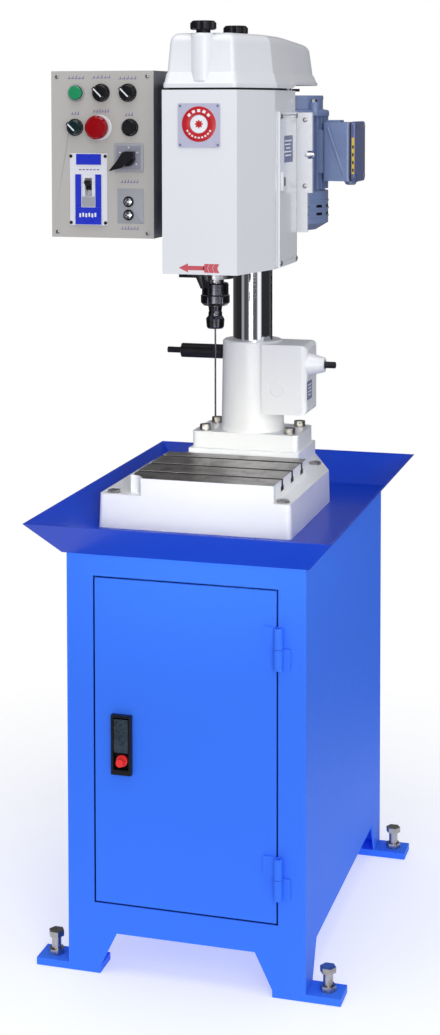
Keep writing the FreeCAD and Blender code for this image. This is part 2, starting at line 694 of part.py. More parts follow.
def lift_wheel():
    """Worm wheel on the pinion shaft; a gap faces the worm."""
    teeth = int(value_of(S.wheel_teeth))
    phase = math.radians(90) + math.pi / teeth
    wheel = gear_solid(teeth, S.wheel_face, phase, 0.35)
    bore_r = value_of(S.wheel_shaft_r + S.fit)
    hole = Part.makeCylinder(bore_r, 40, FreeCAD.Vector(0, -20, 0), FreeCAD.Vector(0, 1, 0))
    return shape_part("lift_wheel", wheel.cut(hole), S.machine_x + S.wheel_x, S.worm_y, S.wheel_z)


def pinion_shaft():
    """Shaft with the pinion that drives the rack; a tooth points at the rack."""
    teeth = int(value_of(S.pinion_teeth))
    pinion = gear_solid(teeth, S.pinion_face, math.pi, 0.3)
    front = value_of(S.gear_front - S.column_y) + 5
    back = value_of(S.gear_back - S.column_y) - 7
    shaft = Part.makeCylinder(value_of(S.wheel_shaft_r), back - front, FreeCAD.Vector(0, front, 0),
                              FreeCAD.Vector(0, 1, 0))
    return shape_part("pinion_shaft", pinion.fuse(shaft).removeSplitter(),
                      S.machine_x + S.wheel_x, S.column_y, S.wheel_z)


def shaft_plug():
    return turned("shaft_plug", [(0, -2), (12, -2), (13, -1), (13, 0), (10.4, 0), (10.4, 3), (0, 3)],
                  S.machine_x + S.wheel_x, S.gear_front, S.wheel_z, "V_Axis", "XY_Plane")


def column():
    post = new_body("column", S.machine_x, S.column_y)
    add(post, "XY_Plane", S.column_low, S.column_high - S.column_low, circles=[(0, 0, S.column_r)])
    half = S.rack_w / 2
    cut(post, "XY_Plane", S.rack_low, rack_length(),
        [box_points(S.rack_back_x, S.column_r + 2, -half, half)])
    return post


def rack_length():
    return S.rack_teeth * S.gear_module * round(math.pi, 6)


def column_rack():
    """Rack strip let into the column; a tooth gap faces the pinion at rest."""
    module = value_of(S.gear_module)
    pitch = module * math.pi
    low = value_of(S.rack_low)
    high = low + value_of(rack_length())
    pitch_x = value_of(S.rack_pitch_x)
    root_x = pitch_x - 1.25 * module
    tip_x = pitch_x + module
    slope = math.tan(math.radians(20))
    half_pitch = pitch / 4 - 0.15
    points = [(value_of(S.rack_back_x), low), (root_x, low)]
    first = math.ceil((low + 3 - value_of(S.wheel_z)) / pitch - 0.5)
    last = math.floor((high - 3 - value_of(S.wheel_z)) / pitch - 0.5)
    for index in range(first, last + 1):
        centre = value_of(S.wheel_z) + (index + 0.5) * pitch
        root_half = half_pitch + slope * (pitch_x - root_x)
        tip_half = half_pitch - slope * (tip_x - pitch_x)
        points += [(root_x, centre - root_half), (tip_x, centre - tip_half),
                   (tip_x, centre + tip_half), (root_x, centre + root_half)]
    points += [(root_x, high), (value_of(S.rack_back_x), high)]
    half = value_of(S.rack_w) / 2
    corners = [FreeCAD.Vector(x, -half, z) for x, z in points]
    face = Part.Face(Part.makePolygon(corners + corners[:1]))
    strip = face.extrude(FreeCAD.Vector(0, 2 * half, 0))
    return shape_part("column_rack", strip, S.machine_x, S.column_y)


def clamp_spindle():
    screw_r = S.clamp_screw_r
    return turned("clamp_spindle", [
        (S.clamp_stub_end, 0), (S.clamp_stub_end, S.clamp_stub_r), (S.clamp_end, S.clamp_stub_r),
        (S.clamp_end, S.clamp_r), (-57, S.clamp_r), (-57, screw_r), (-37.5, screw_r), (-37.5, 0)],
        S.machine_x, S.column_y, S.clamp_z, "H_Axis")


# ---- head --------------------------------------------------------------------------------------

def head_outline(inset=0):
    """Plan of the head: flat front, flared sides, straight sides, narrower back."""
    front = S.head_front_half - inset * 0.9
    side = S.head_half - inset
    back = S.head_back_half - inset * 0.7
    y_front = -S.head_front + inset
    y_back = S.head_back - inset
    return [(-front, y_front), (front, y_front), (side, S.head_flare_y), (side, S.head_side_y),
            (back, y_back), (-back, y_back), (-side, S.head_side_y), (-side, S.head_flare_y)]


def head_casting():
    head = new_body("head_casting", S.machine_x)
    height = S.head_top - S.head_low
    add(head, "XY_Plane", S.head_low, height, [head_outline()])
    wall = S.head_wall
    cut(head, "XY_Plane", S.head_low + 12, height - 24, [head_outline(wall)])
    add(head, "XY_Plane", S.head_low + 2, S.quill_top - S.head_low + 20,
        circles=[(0, S.spindle_y, S.quill_r + 12)])
    cut(head, "XY_Plane", S.head_low - 1, S.quill_top - S.head_low + 40,
        circles=[(0, S.spindle_y, S.quill_r + S.fit)])
    add(head, "XY_Plane", 1388, S.head_top - 1389, circles=[(0, S.spindle_y, S.sleeve_r + 14)])
    cut(head, "XY_Plane", 1380, 100, circles=[(0, S.spindle_y, S.sleeve_r + S.fit)])
    half = S.socket_half
    add(head, "XY_Plane", S.head_low, S.socket_top - S.head_low,
        [[(-half, S.head_side_y), (half, S.head_side_y), (half, S.socket_back - 35),
          (half - 30, S.socket_back), (30 - half, S.socket_back), (-half, S.socket_back - 35)]])
    cut(head, "XY_Plane", S.head_low - 1, S.column_high - S.head_low + 1,
        circles=[(0, S.column_y, S.column_r)])
    opening = [box_points(S.cover_front_y + 14, S.cover_back_y - 14, S.cover_low + 20,
                          S.cover_high - 16)]
    cut(head, "YZ_Plane", S.head_half - 12, 20, opening)
    cut(head, "YZ_Plane", S.head_half - 8, 20,
        circles=[(y, z, 2.5) for y, z in side_screw_spots()])
    cut(head, "XY_Plane", S.head_top - 20, 40,
        circles=[(0, y, S.knob_screw_r + S.fit) for y in (S.knob_front_y, S.knob_back_y)])
    return head


def side_screw_spots():
    return [(y, z) for y in (S.cover_front_y + 7, S.cover_back_y - 7)
            for z in (S.cover_low + 7, S.cover_high - 8)]


def side_cover():
    plate = new_body("side_cover", S.machine_x)
    add(plate, "YZ_Plane", S.head_half, S.cover_t,
        [box_points(S.cover_front_y, S.cover_back_y, S.cover_low, S.cover_high)],
        [(y, z, 2.6) for y, z in side_screw_spots()])
    return plate


def side_cover_screws():
    screw = turned("side_screw", [(-10, 0), (-10, 2.5), (0, 2.5), (0, 4.5), (1.6, 4.5), (2.6, 2.6),
                                  (2.6, 0)], axis="H_Axis")
    spots = [((S.head_half + S.cover_t, y, z), 0) for y, z in side_screw_spots()]
    return group("side_cover_screws", screw, spots, S.machine_x)


def badge_plate():
    plate = new_body("badge_plate", S.machine_x)
    half = S.badge_side / 2
    pad = add(plate, "XZ_Plane", -S.head_front - S.badge_t, S.badge_t,
              [box_points(-half, half, S.badge_z - half, S.badge_z + half)])
    round_edges(plate, pad, 3, lambda edge: abs(edge.tangentAt(edge.FirstParameter).y) > 0.99)
    return plate


def stop_plate():
    """Dark plate under the front of the head, with an arm that reaches to the quill."""
    plate = new_body("stop_plate", S.machine_x)
    front = 5 - S.head_front
    back = S.stop_w - S.head_front
    arm_end = S.spindle_y - S.quill_collar_r - 3
    add(plate, "XY_Plane", S.head_low - S.stop_t, S.stop_t, [[
        (-S.stop_left, front), (-S.stop_right, front), (-S.stop_right, back), (-14, back),
        (-14, arm_end), (-S.stop_right - 4, arm_end), (-S.stop_right - 10, back), (-S.stop_left, back)]])
    return plate


# ---- spindle -----------------------------------------------------------------------------------

def quill():
    """Sliding sleeve with a collar below the head and seats for two bearings."""
    seat = S.bearing_r
    neck = S.spindle_r + 3
    low = S.quill_low
    high = S.quill_top
    reach = S.bearing_h + 2
    return turned("quill", [
        (S.quill_collar_r, low), (S.quill_collar_r, S.head_low - 0.4), (S.quill_r, S.head_low - 0.4),
        (S.quill_r, high), (seat, high), (seat, high - reach), (neck, high - reach), (neck, low + reach),
        (seat, low + reach), (seat, low)], S.machine_x, S.spindle_y)


def quill_bearings():
    ring = turned("bearing", [(S.spindle_r + S.fit, 0), (S.bearing_r, 0), (S.bearing_r, S.bearing_h),
                              (S.spindle_r + S.fit, S.bearing_h)])
    spots = [((0, 0, S.quill_low + 2), 0), ((0, 0, S.quill_top - S.bearing_h - 2), 0)]
    return group("quill_bearings", ring, spots, S.machine_x, S.spindle_y)


def spindle():
    return turned("spindle", [
        (0, S.chuck_top), (S.spindle_r, S.chuck_top), (S.spindle_r, S.quill_top + 6),
        (S.spline_r, S.quill_top + 6), (S.spline_r, S.spline_top - 2), (S.spline_r - 2, S.spline_top),
        (0, S.spline_top)], S.machine_x, S.spindle_y)


def collet_chuck():
    """Collet chuck with its slotted closing nut."""
    chuck = turned("collet_chuck", [
        (0, S.chuck_low), (S.chuck_nut_r - 5, S.chuck_low), (S.chuck_nut_r, S.chuck_low + 5),
        (S.chuck_nut_r, S.chuck_nut_top - 2), (S.chuck_r, S.chuck_nut_top),
        (S.chuck_r, S.chuck_top - 2), (S.chuck_r - 2, S.chuck_top), (0, S.chuck_top)],
        S.machine_x, S.spindle_y)
    slots = []
    for index in range(6):
        angle = math.radians(60 * index + 15)
        slots.append((S.chuck_nut_r * round(math.cos(angle), 6),
                      S.chuck_nut_r * round(math.sin(angle), 6), 2.2))
    cut(chuck, "XY_Plane", S.chuck_low - 1, S.chuck_nut_top - S.chuck_low - 3, circles=slots)
    return chuck


def reducer_chuck():
    """Smaller holder gripped in the collet chuck, with its own nut."""
    return turned("reducer_chuck", [
        (0, S.reducer_low), (S.reducer_nut_r - 3, S.reducer_low), (S.reducer_nut_r - 1, S.reducer_low + 3),
        (S.reducer_nut_r, S.reducer_nut_top - 5), (S.reducer_r, S.reducer_nut_top),
        (S.reducer_r, S.reducer_nut_top + 5), (S.reducer_r - 1, S.reducer_nut_top + 8),
        (S.reducer_r, S.chuck_low - 2), (S.reducer_r, S.chuck_low), (0, S.chuck_low)],
        S.machine_x, S.spindle_y)


def drill_bit():
    return turned("drill_bit", [(0, S.drill_tip), (S.drill_r, S.drill_tip + 1),
                                (S.drill_r, S.reducer_low), (0, S.reducer_low)],
                  S.machine_x, S.spindle_y)


# ---- belt drive --------------------------------------------------------------------------------

def pulley_profile(bore, radius, low_r, low):
    """Single V-groove pulley with a hub that reaches down to low."""
    middle = S.pulley_z + S.pulley_h / 2
    top = S.pulley_z + S.pulley_h
    half_top = S.groove_top / 2
    half_low = S.groove_low / 2
    floor_r = radius - S.groove_depth
    return [(bore, low), (low_r, low), (low_r, S.pulley_z), (radius, S.pulley_z),
            (radius, middle - half_top), (floor_r, middle - half_low), (floor_r, middle + half_low),
            (radius, middle + half_top), (radius, top), (bore, top)]


def spindle_pulley():
    """Pulley with the splined drive sleeve that turns in the head."""
    return turned("spindle_pulley",
                  pulley_profile(S.spline_r + S.fit, S.spindle_pulley_r, S.sleeve_r, 1384),
                  S.machine_x, S.spindle_y)


def motor_pulley():
    return turned("motor_pulley",
                  pulley_profile(S.shaft_r + S.fit, S.motor_pulley_r, 13, S.pulley_z - 8),
                  S.machine_x + S.motor_x, S.motor_y)


def drive_belt():
    """Closed belt round both pulleys, standing just clear of the grooves."""
    width = value_of(S.belt_w)
    low = value_of(S.pulley_z + S.pulley_h / 2) - width / 2
    start = FreeCAD.Vector(0, value_of(S.spindle_y), low)
    end = FreeCAD.Vector(value_of(S.motor_x), value_of(S.motor_y), low)
    way = end - start
    distance = way.Length
    heading = math.atan2(way.y, way.x)

    def loop(extra):
        big = value_of(S.spindle_pulley_r) + extra
        small = value_of(S.motor_pulley_r) + extra
        lean = math.acos((big - small) / distance)

        def on(centre, radius, angle):
            return centre + FreeCAD.Vector(radius * math.cos(angle), radius * math.sin(angle), 0)

        left, right = heading + lean, heading - lean
        edges = [
            Part.Arc(on(start, big, left), on(start, big, heading + math.pi),
                     on(start, big, right)).toShape(),
            Part.LineSegment(on(start, big, right), on(end, small, right)).toShape(),
            Part.Arc(on(end, small, right), on(end, small, heading), on(end, small, left)).toShape(),
            Part.LineSegment(on(end, small, left), on(start, big, left)).toShape()]
        return Part.Face(Part.Wire(edges))

    inner = value_of(S.belt_t) + 0.5
    ring = loop(-0.5).cut(loop(-inner))
    belt = ring.extrude(FreeCAD.Vector(0, 0, width))
    return shape_part("drive_belt", belt, S.machine_x)


def lid_outline(grow=0):
    """Plan of the belt cover, grown or shrunk by the given amount."""
    front = S.lid_front_half + grow * 0.9
    side = S.lid_half + grow
    corner = 26
    return [(-front, -S.lid_front - grow), (front, -S.lid_front - grow), (side, S.lid_flare_y),
            (side, S.lid_back + grow - corner), (side - corner, S.lid_back + grow),
            (corner - side, S.lid_back + grow), (-side, S.lid_back + grow - corner),
            (-side, S.lid_flare_y)]


def belt_cover():
    """Cast cover over the belt: lip, upright wall and a bevelled top, held by two knobs."""
    cover = new_body("belt_cover", S.machine_x)
    add(cover, "XY_Plane", S.lid_low, S.lid_lip_h, [lid_outline(S.lid_lip)])
    add(cover, "XY_Plane", S.lid_low + 2, S.lid_side_top - S.lid_low - 2, [lid_outline()])
    add(cover, "XY_Plane", S.lid_side_top - 0.5, S.lid_top - S.lid_side_top + 0.5, [lid_outline()],
        taper=-42)
    add(cover, "XY_Plane", S.lid_low + 2, S.lid_top - S.lid_low - 6,
        circles=[(0, S.knob_front_y, S.lid_boss_r)])
    add(cover, "XY_Plane", S.lid_top - 5, 5, circles=[(0, S.knob_front_y, 14)])
    beyond = S.lid_back + S.lid_lip + 5
    cut(cover, "YZ_Plane", -S.lid_half - 20, S.lid_half * 2 + 40,
        [[(S.lid_slope_y, S.lid_top), (beyond, S.lid_back_top), (beyond, S.lid_top + 5),
          (S.lid_slope_y, S.lid_top + 5)]])
    roof_low = S.lid_back_top - S.lid_wall - 3
    cut(cover, "XY_Plane", S.lid_low - 1, roof_low - S.lid_low + 1, [lid_outline(-1 * S.lid_wall)])
    room_x = S.lid_front_half - 4
    cut(cover, "XY_Plane", roof_low - 1, S.lid_top - S.lid_wall - roof_low,
        [box_points(-room_x, room_x, -S.lid_front + 30, S.lid_slope_y - 5)])
    posts = [(0, y, S.knob_post_r) for y in (S.knob_front_y, S.knob_back_y)]
    add(cover, "XY_Plane", S.lid_low, S.lid_top - S.lid_low - 3, circles=posts)
    cut(cover, "XY_Plane", S.lid_low - 1, 120,
        circles=[(0, y, S.knob_screw_r + 0.3) for y in (S.knob_front_y, S.knob_back_y)])
    return cover


def cover_knob(name, y):
    """Six-lobed knob with its long screw."""
    knob = turned(name, [(0, S.head_top - 15), (S.knob_screw_r, S.head_top - 15),
                         (S.knob_screw_r, S.lid_top + 0.3), (12, S.lid_top + 0.3), (12, S.lid_top + 5),
                         (S.knob_r - 2, S.lid_top + 5), (S.knob_r, S.lid_top + 7),
                         (S.knob_r, S.lid_top + S.knob_h - 4), (S.knob_r - 4, S.lid_top + S.knob_h),
                         (0, S.lid_top + S.knob_h)], S.machine_x, y)
    lobes = []
    for index in range(6):
        angle = math.radians(60 * index + 30)
        lobes.append(((S.knob_r + 2) * round(math.cos(angle), 6),
                      (S.knob_r + 2) * round(math.sin(angle), 6), 7))
    cut(knob, "XY_Plane", S.lid_top + 2, S.knob_h, circles=lobes)
    return knob


# ---- motor -------------------------------------------------------------------------------------

def motor_frame():
    """Finned frame with its end shield and foot, bored for the rotor."""
    frame = new_body("motor_frame", S.machine_x + S.motor_x, S.motor_y)
    length = S.frame_high - S.frame_low
    add(frame, "XY_Plane", S.frame_low, length, circles=[(0, 0, S.motor_r)])
    fin = add(frame, "XY_Plane", S.frame_low + 4, length - 8,
              [box_points(S.motor_r - 2, S.fin_r, -S.fin_t / 2, S.fin_t / 2)])
    ring = frame.newObject("PartDesign::PolarPattern", "motor_fins")
    ring.Originals = [fin]
    ring.Axis = (fin.Profile[0], ["N_Axis"])
    ring.Angle = 360
    bind(ring, "Occurrences", S.fin_count)
    frame.Tip = ring
    add(frame, "XY_Plane", S.frame_high - 1, S.shield_top - S.frame_high + 1,
        circles=[(0, 0, S.shield_r)])
    back_of_plate = S.head_back + S.plate_t - S.motor_y
    add(frame, "XZ_Plane", back_of_plate, 22, [box_points(-50, 50, S.frame_low + 12, S.frame_high - 14)])
    add(frame, "YZ_Plane", S.motor_r - 6, S.box_near - S.motor_r + 6,
        [box_points(-30, 30, S.box_low + 14, S.box_high - 14)])
    cut(frame, "XY_Plane", S.frame_low - 1, S.frame_high - S.frame_low - 8,
        circles=[(0, 0, S.rotor_r + 6)])
    cut(frame, "XY_Plane", S.frame_high - 20, 80, circles=[(0, 0, S.shaft_r + S.fit)])
    return frame


def motor_cowl():
    cut_r = S.cowl_cut
    return turned("motor_cowl", [
        (S.motor_r - 4, S.frame_low), (S.fin_r, S.frame_low), (S.fin_r, S.cowl_low + cut_r * 0.6),
        (S.fin_r - cut_r, S.cowl_low), (12, S.cowl_low), (12, S.cowl_low + 2),
        (S.fin_r - cut_r - 1, S.cowl_low + 2), (S.fin_r - 2, S.cowl_low + cut_r * 0.6 + 1),
        (S.fin_r - 2, S.frame_low - 2), (S.motor_r - 4, S.frame_low - 2)],
        S.machine_x + S.motor_x, S.motor_y)


def motor_rotor():
    return turned("motor_rotor", [
        (0, S.cowl_low + 22), (S.shaft_r, S.cowl_low + 22), (S.shaft_r, S.frame_low + 20),
        (S.rotor_r, S.frame_low + 20), (S.rotor_r, S.frame_high - 20), (S.shaft_r, S.frame_high - 20),
        (S.shaft_r, S.pulley_z + S.pulley_h), (0, S.pulley_z + S.pulley_h)],
        S.machine_x + S.motor_x, S.motor_y)


def motor_plate():
    """Mounting plate behind the head, stepped on its right edge."""
    plate = new_body("motor_plate", S.machine_x)
    add(plate, "XZ_Plane", S.head_back, S.plate_t, [[
        (S.plate_left, S.plate_low), (S.plate_low_right, S.plate_low), (S.plate_low_right, 1262),
        (S.plate_right, 1262), (S.plate_right, 1324), (S.plate_low_right, 1324),
        (S.plate_low_right, 1338), (S.plate_right, 1338), (S.plate_right, S.plate_high),
        (S.plate_left, S.plate_high)]])
    return plate


def terminal_box():
    """Connection box on the right of the motor, widening towards its lid."""
    box = new_body("terminal_box", S.machine_x + S.motor_x, S.motor_y)
    half = S.box_half
    body_pad = add(box, "XY_Plane", S.box_low, S.box_high - S.box_low, [[
        (S.box_near, 8 - half), (S.box_far, -half), (S.box_far, half), (S.box_near, half - 8)]])
    round_edges(box, body_pad, 6, is_upright)
    return box


# ---- control box -------------------------------------------------------------------------------

def control_box():
    """Open-fronted steel box with two bosses against the head."""
    box = new_body("control_box", S.machine_x)
    left, right, low, high = S.panel_left, S.panel_right, S.panel_low, S.panel_high
    wall = S.box_wall
    add(box, "XZ_Plane", S.panel_y, S.panel_d, [box_points(left, right, low, high)])
    cut(box, "XZ_Plane", S.panel_y - 1, S.panel_d + 1 - wall,
        [box_points(left + wall, right - wall, low + wall, high - wall)])
    reach = -1 * S.head_half - right
    add(box, "YZ_Plane", right - 1, reach + 1,
        circles=[(-5, 1250, 14), (-5, 1400, 14)])
    return box


CONTROLS = {
    # name: (x, z, hole radius)
    "green_button": (-248, 1442, 11.2), "selector_left": (-202, 1442, 11.2),
    "selector_right": (-153, 1442, 11.2), "selector_small": (-250.5, 1382, 11.2),
    "stop_button": (-205, 1382, 11.2), "black_button": (-149.5, 1382, 11.2),
    "cam_switch": (-151.5, 1328, 6.2), "toggle_upper": (-152.5, 1253.5, 6.2),
    "toggle_lower": (-152.5, 1230.5, 6.2),
}


def control_panel():
    panel = new_body("control_panel", S.machine_x)
    add(panel, "XZ_Plane", S.panel_y - S.panel_t, S.panel_t,
        [box_points(S.panel_left, S.panel_right, S.panel_low, S.panel_high)],
        [(x, z, radius) for x, z, radius in CONTROLS.values()])
    cut(panel, "XZ_Plane", S.panel_y - S.panel_t - 1, 6, [box_points(-248, -202, 1214, 1300)])
    return panel


def knob_body(name, profile):
    """A round control on its place in the panel; local -Y points out of the panel."""
    x, z, hole = CONTROLS[name]
    return turned(name, profile, S.machine_x + x, S.panel_y - S.panel_t, z, "V_Axis", "XY_Plane")


def push_button(name, head_r, proud):
    """Spring-loaded cap that stands proud of the panel."""
    return knob_body(name, [(0, 26), (11, 26), (11, 4 - proud), (head_r, 3 - proud),
                            (head_r, 1.5 - proud), (head_r - 1.5, -proud), (0, -proud)])


def stop_button():
    """Mushroom-headed stop button."""
    return knob_body("stop_button", [(0, 26), (11, 26), (11, -9), (19, -11), (20.5, -14), (20.5, -20),
                                     (17, -24), (0, -25)])


def selector(name, head_r):
    """Rotary selector with a raised finger grip across its face."""
    knob = knob_body(name, [(0, 26), (11, 26), (11, -1), (head_r, -1), (head_r, -10),
                            (head_r - 2, -12), (0, -12)])
    grip = [(-0.707, 0.707), (0.707, -0.707)]
    long_half, thin = head_r - 1.5, 3
    corners = []
    for (ux, uz), (side_x, side_z) in ((grip[0], (0.707, 0.707)), (grip[1], (-0.707, -0.707))):
        corners.append((ux * long_half - side_x * thin, uz * long_half - side_z * thin))
        corners.append((ux * long_half + side_x * thin, uz * long_half + side_z * thin))
    add(knob, "XZ_Plane", -22, 11, [corners])
    return knob


def cam_switch():
    """Pointer handle of the rotary switch."""
    knob = knob_body("cam_switch", [(0, 20), (6, 20), (6, -4), (13, -4), (13, -14), (0, -14)])
    add(knob, "XZ_Plane", -25, 12, [[(-29, -21), (-6, -15), (16, 4), (15, 13), (-4, 12), (-14, -3)]])
    return knob


def breaker():
    """Motor protection switch: body, frame and the white plate round it."""
    block = new_body("breaker", S.machine_x)
    y = S.panel_y - S.panel_t
    add(block, "XZ_Plane", y - 2, 2, [box_points(-260, -191.5, 1211.5, 1337)])
    add(block, "XZ_Plane", y - 5, 4, [box_points(-249.5, -200.5, 1212.5, 1301)])
    add(block, "XZ_Plane", y - 3, 50, [box_points(-246, -204, 1216, 1298)])
    add(block, "XZ_Plane", y - 3.5, 2, [box_points(-248, -201.5, 1317, 1336)])
    cut(block, "XZ_Plane", y - 10, 8, [box_points(-237, -213, 1244, 1301)])
    cut(block, "XZ_Plane", y - 10, 24, [box_points(-232.5, -219.5, 1262, 1294)])
    return block


def breaker_toggle():
    """Rocking handle of the breaker, turning about the X axis."""
    toggle = new_body("breaker_toggle", S.machine_x - 226, S.panel_y - S.panel_t + 8, 1278)
    turn("Revolution", toggle, [(-6, 0), (6, 0), (6, 5.5), (-6, 5.5)], "H_Axis")
    add(toggle, "YZ_Plane", -6, 12, [[(-16, 7), (-6, 1), (0, -2), (2, 4), (-5, 7), (-14, 12)]])
    return toggle


def bat_toggle(name):
    """Small metal toggle: a round bat lever on a pivot pin along the X axis."""
    x, z, hole = CONTROLS[name]
    lever = new_body(name, S.machine_x + x, S.panel_y - S.panel_t, z)
    tip = new_sketch(lever, "XY_Plane", 0)
    outline(tip, [(0, 4), (2.4, 4), (2.4, 0), (1.7, -4), (2.9, -15), (1.8, -17), (0, -17)])
    feature = lever.newObject("PartDesign::Revolution", name + "_lever")
    feature.Profile = tip
    feature.ReferenceAxis = (tip, ["V_Axis"])
    feature.Angle = 360
    turn("Revolution", lever, [(-4.5, 0), (4.5, 0), (4.5, 1.9), (-4.5, 1.9)], "H_Axis")
    return lever


# ---- build -------------------------------------------------------------------------------------

keep(cabinet_sides())
keep(end_panel("cabinet_back", S.cabinet_d / 2 - S.sheet))
keep(cabinet_front())
keep(cabinet_floor())
keep(foot_plates())
keep(levelling_feet())
keep(chip_pan())
keep(door_panel())
keep(hinge_knuckles("door_hinge_knuckles", S.hinge_h / 2, -1, False))
keep(hinge_knuckles("frame_hinge_knuckles", 0, 1, True))
keep(latch_housing())
keep(latch_paddle())
keep(latch_button())
keep(table_base())
keep(base_bolts())
keep(column_support())
keep(flange_bolts())
keep(gearbox_cover())
keep(worm_shaft())
keep(lift_wheel())
keep(pinion_shaft())
keep(shaft_plug())
keep(column())
keep(column_rack())
keep(clamp_spindle())
keep(head_casting())
keep(side_cover())
keep(side_cover_screws())
keep(badge_plate())
keep(stop_plate())
keep(quill())
keep(quill_bearings())
keep(spindle())
keep(collet_chuck())
keep(reducer_chuck())
keep(drill_bit())
keep(spindle_pulley())
keep(motor_pulley())
keep(drive_belt())
keep(belt_cover())
keep(cover_knob("cover_knob_front", S.knob_front_y))
keep(cover_knob("cover_knob_back", S.knob_back_y))
keep(motor_frame())
keep(motor_cowl())
keep(motor_rotor())
keep(motor_plate())
keep(terminal_box())
keep(control_box())
keep(control_panel())
keep(push_button("green_button", 12, 10))
keep(push_button("black_button", 12, 10))
keep(stop_button())
keep(selector("selector_left", 13.5))
keep(selector("selector_right", 13.5))
keep(selector("selector_small", 12.5))
keep(cam_switch())
keep(breaker())
keep(breaker_toggle())
keep(bat_toggle("toggle_upper"))
keep(bat_toggle("toggle_lower"))
doc.recompute()

for item in doc.Objects:
    if "Invalid" in item.State or "Error" in item.State:
        raise RuntimeError("%s is not sound: %s" % (item.Name, item.State))
for part in PARTS:
    shape = part.Shape
    if shape.isNull() or not shape.isValid():
        raise RuntimeError(part.Label + " has no sound shape")
    shape.exportStep("parts/" + part.Label + ".step")
    print(part.Label, round(shape.Volume), len(shape.Solids))
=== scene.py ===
import math
import bmesh
import bpy
from mathutils import Matrix, Vector

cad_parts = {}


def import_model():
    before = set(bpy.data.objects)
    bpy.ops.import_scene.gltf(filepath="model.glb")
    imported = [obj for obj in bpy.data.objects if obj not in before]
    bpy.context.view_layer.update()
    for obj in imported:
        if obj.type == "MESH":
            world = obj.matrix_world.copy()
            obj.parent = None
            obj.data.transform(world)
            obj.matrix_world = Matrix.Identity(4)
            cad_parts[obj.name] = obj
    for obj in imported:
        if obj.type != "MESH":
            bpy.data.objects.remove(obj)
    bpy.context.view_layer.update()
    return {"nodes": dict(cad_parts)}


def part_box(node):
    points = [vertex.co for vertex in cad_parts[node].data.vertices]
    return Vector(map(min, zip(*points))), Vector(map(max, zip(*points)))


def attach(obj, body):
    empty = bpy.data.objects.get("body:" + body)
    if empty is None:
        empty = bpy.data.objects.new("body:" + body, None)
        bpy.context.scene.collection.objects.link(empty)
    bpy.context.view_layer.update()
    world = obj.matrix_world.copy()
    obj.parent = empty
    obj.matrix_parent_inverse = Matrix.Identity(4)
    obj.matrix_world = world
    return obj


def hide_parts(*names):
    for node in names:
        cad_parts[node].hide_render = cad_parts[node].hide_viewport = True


# Looks of the column drill press: materials for the CAD nodes, and the trim, plates and panels
# that are made here as mesh.  Sizes are in millimetres in the machine's own frame, whose x is 0 on
# the spindle's line, unless a comment says otherwise.
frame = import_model()
MM = 0.001
QUILL_LOW, QUILL_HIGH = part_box("quill")
MACHINE_X = (QUILL_LOW.x + QUILL_HIGH.x) / 2
PANEL_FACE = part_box("control_panel")[0].y / MM
HEAD_LOW, HEAD_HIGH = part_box("head_casting")
HEAD_FRONT = HEAD_LOW.y / MM
CAMERA_YAW = 16.0


def spot(x, y, z):
    """A point of the machine's own frame, in the row frame's metres."""
    return Vector((MACHINE_X + x * MM, y * MM, z * MM))


def linear(red, green, blue):
    """Screen colour, 0 to 255, as a linear colour."""
    def channel(value):
        """One channel of the colour, 0 to 1."""
        part = value / 255
        return part / 12.92 if part <= 0.04045 else ((part + 0.055) / 1.055) ** 2.4
    return channel(red), channel(green), channel(blue), 1.0


# ---- materials -------------------------------------------------------------------------------

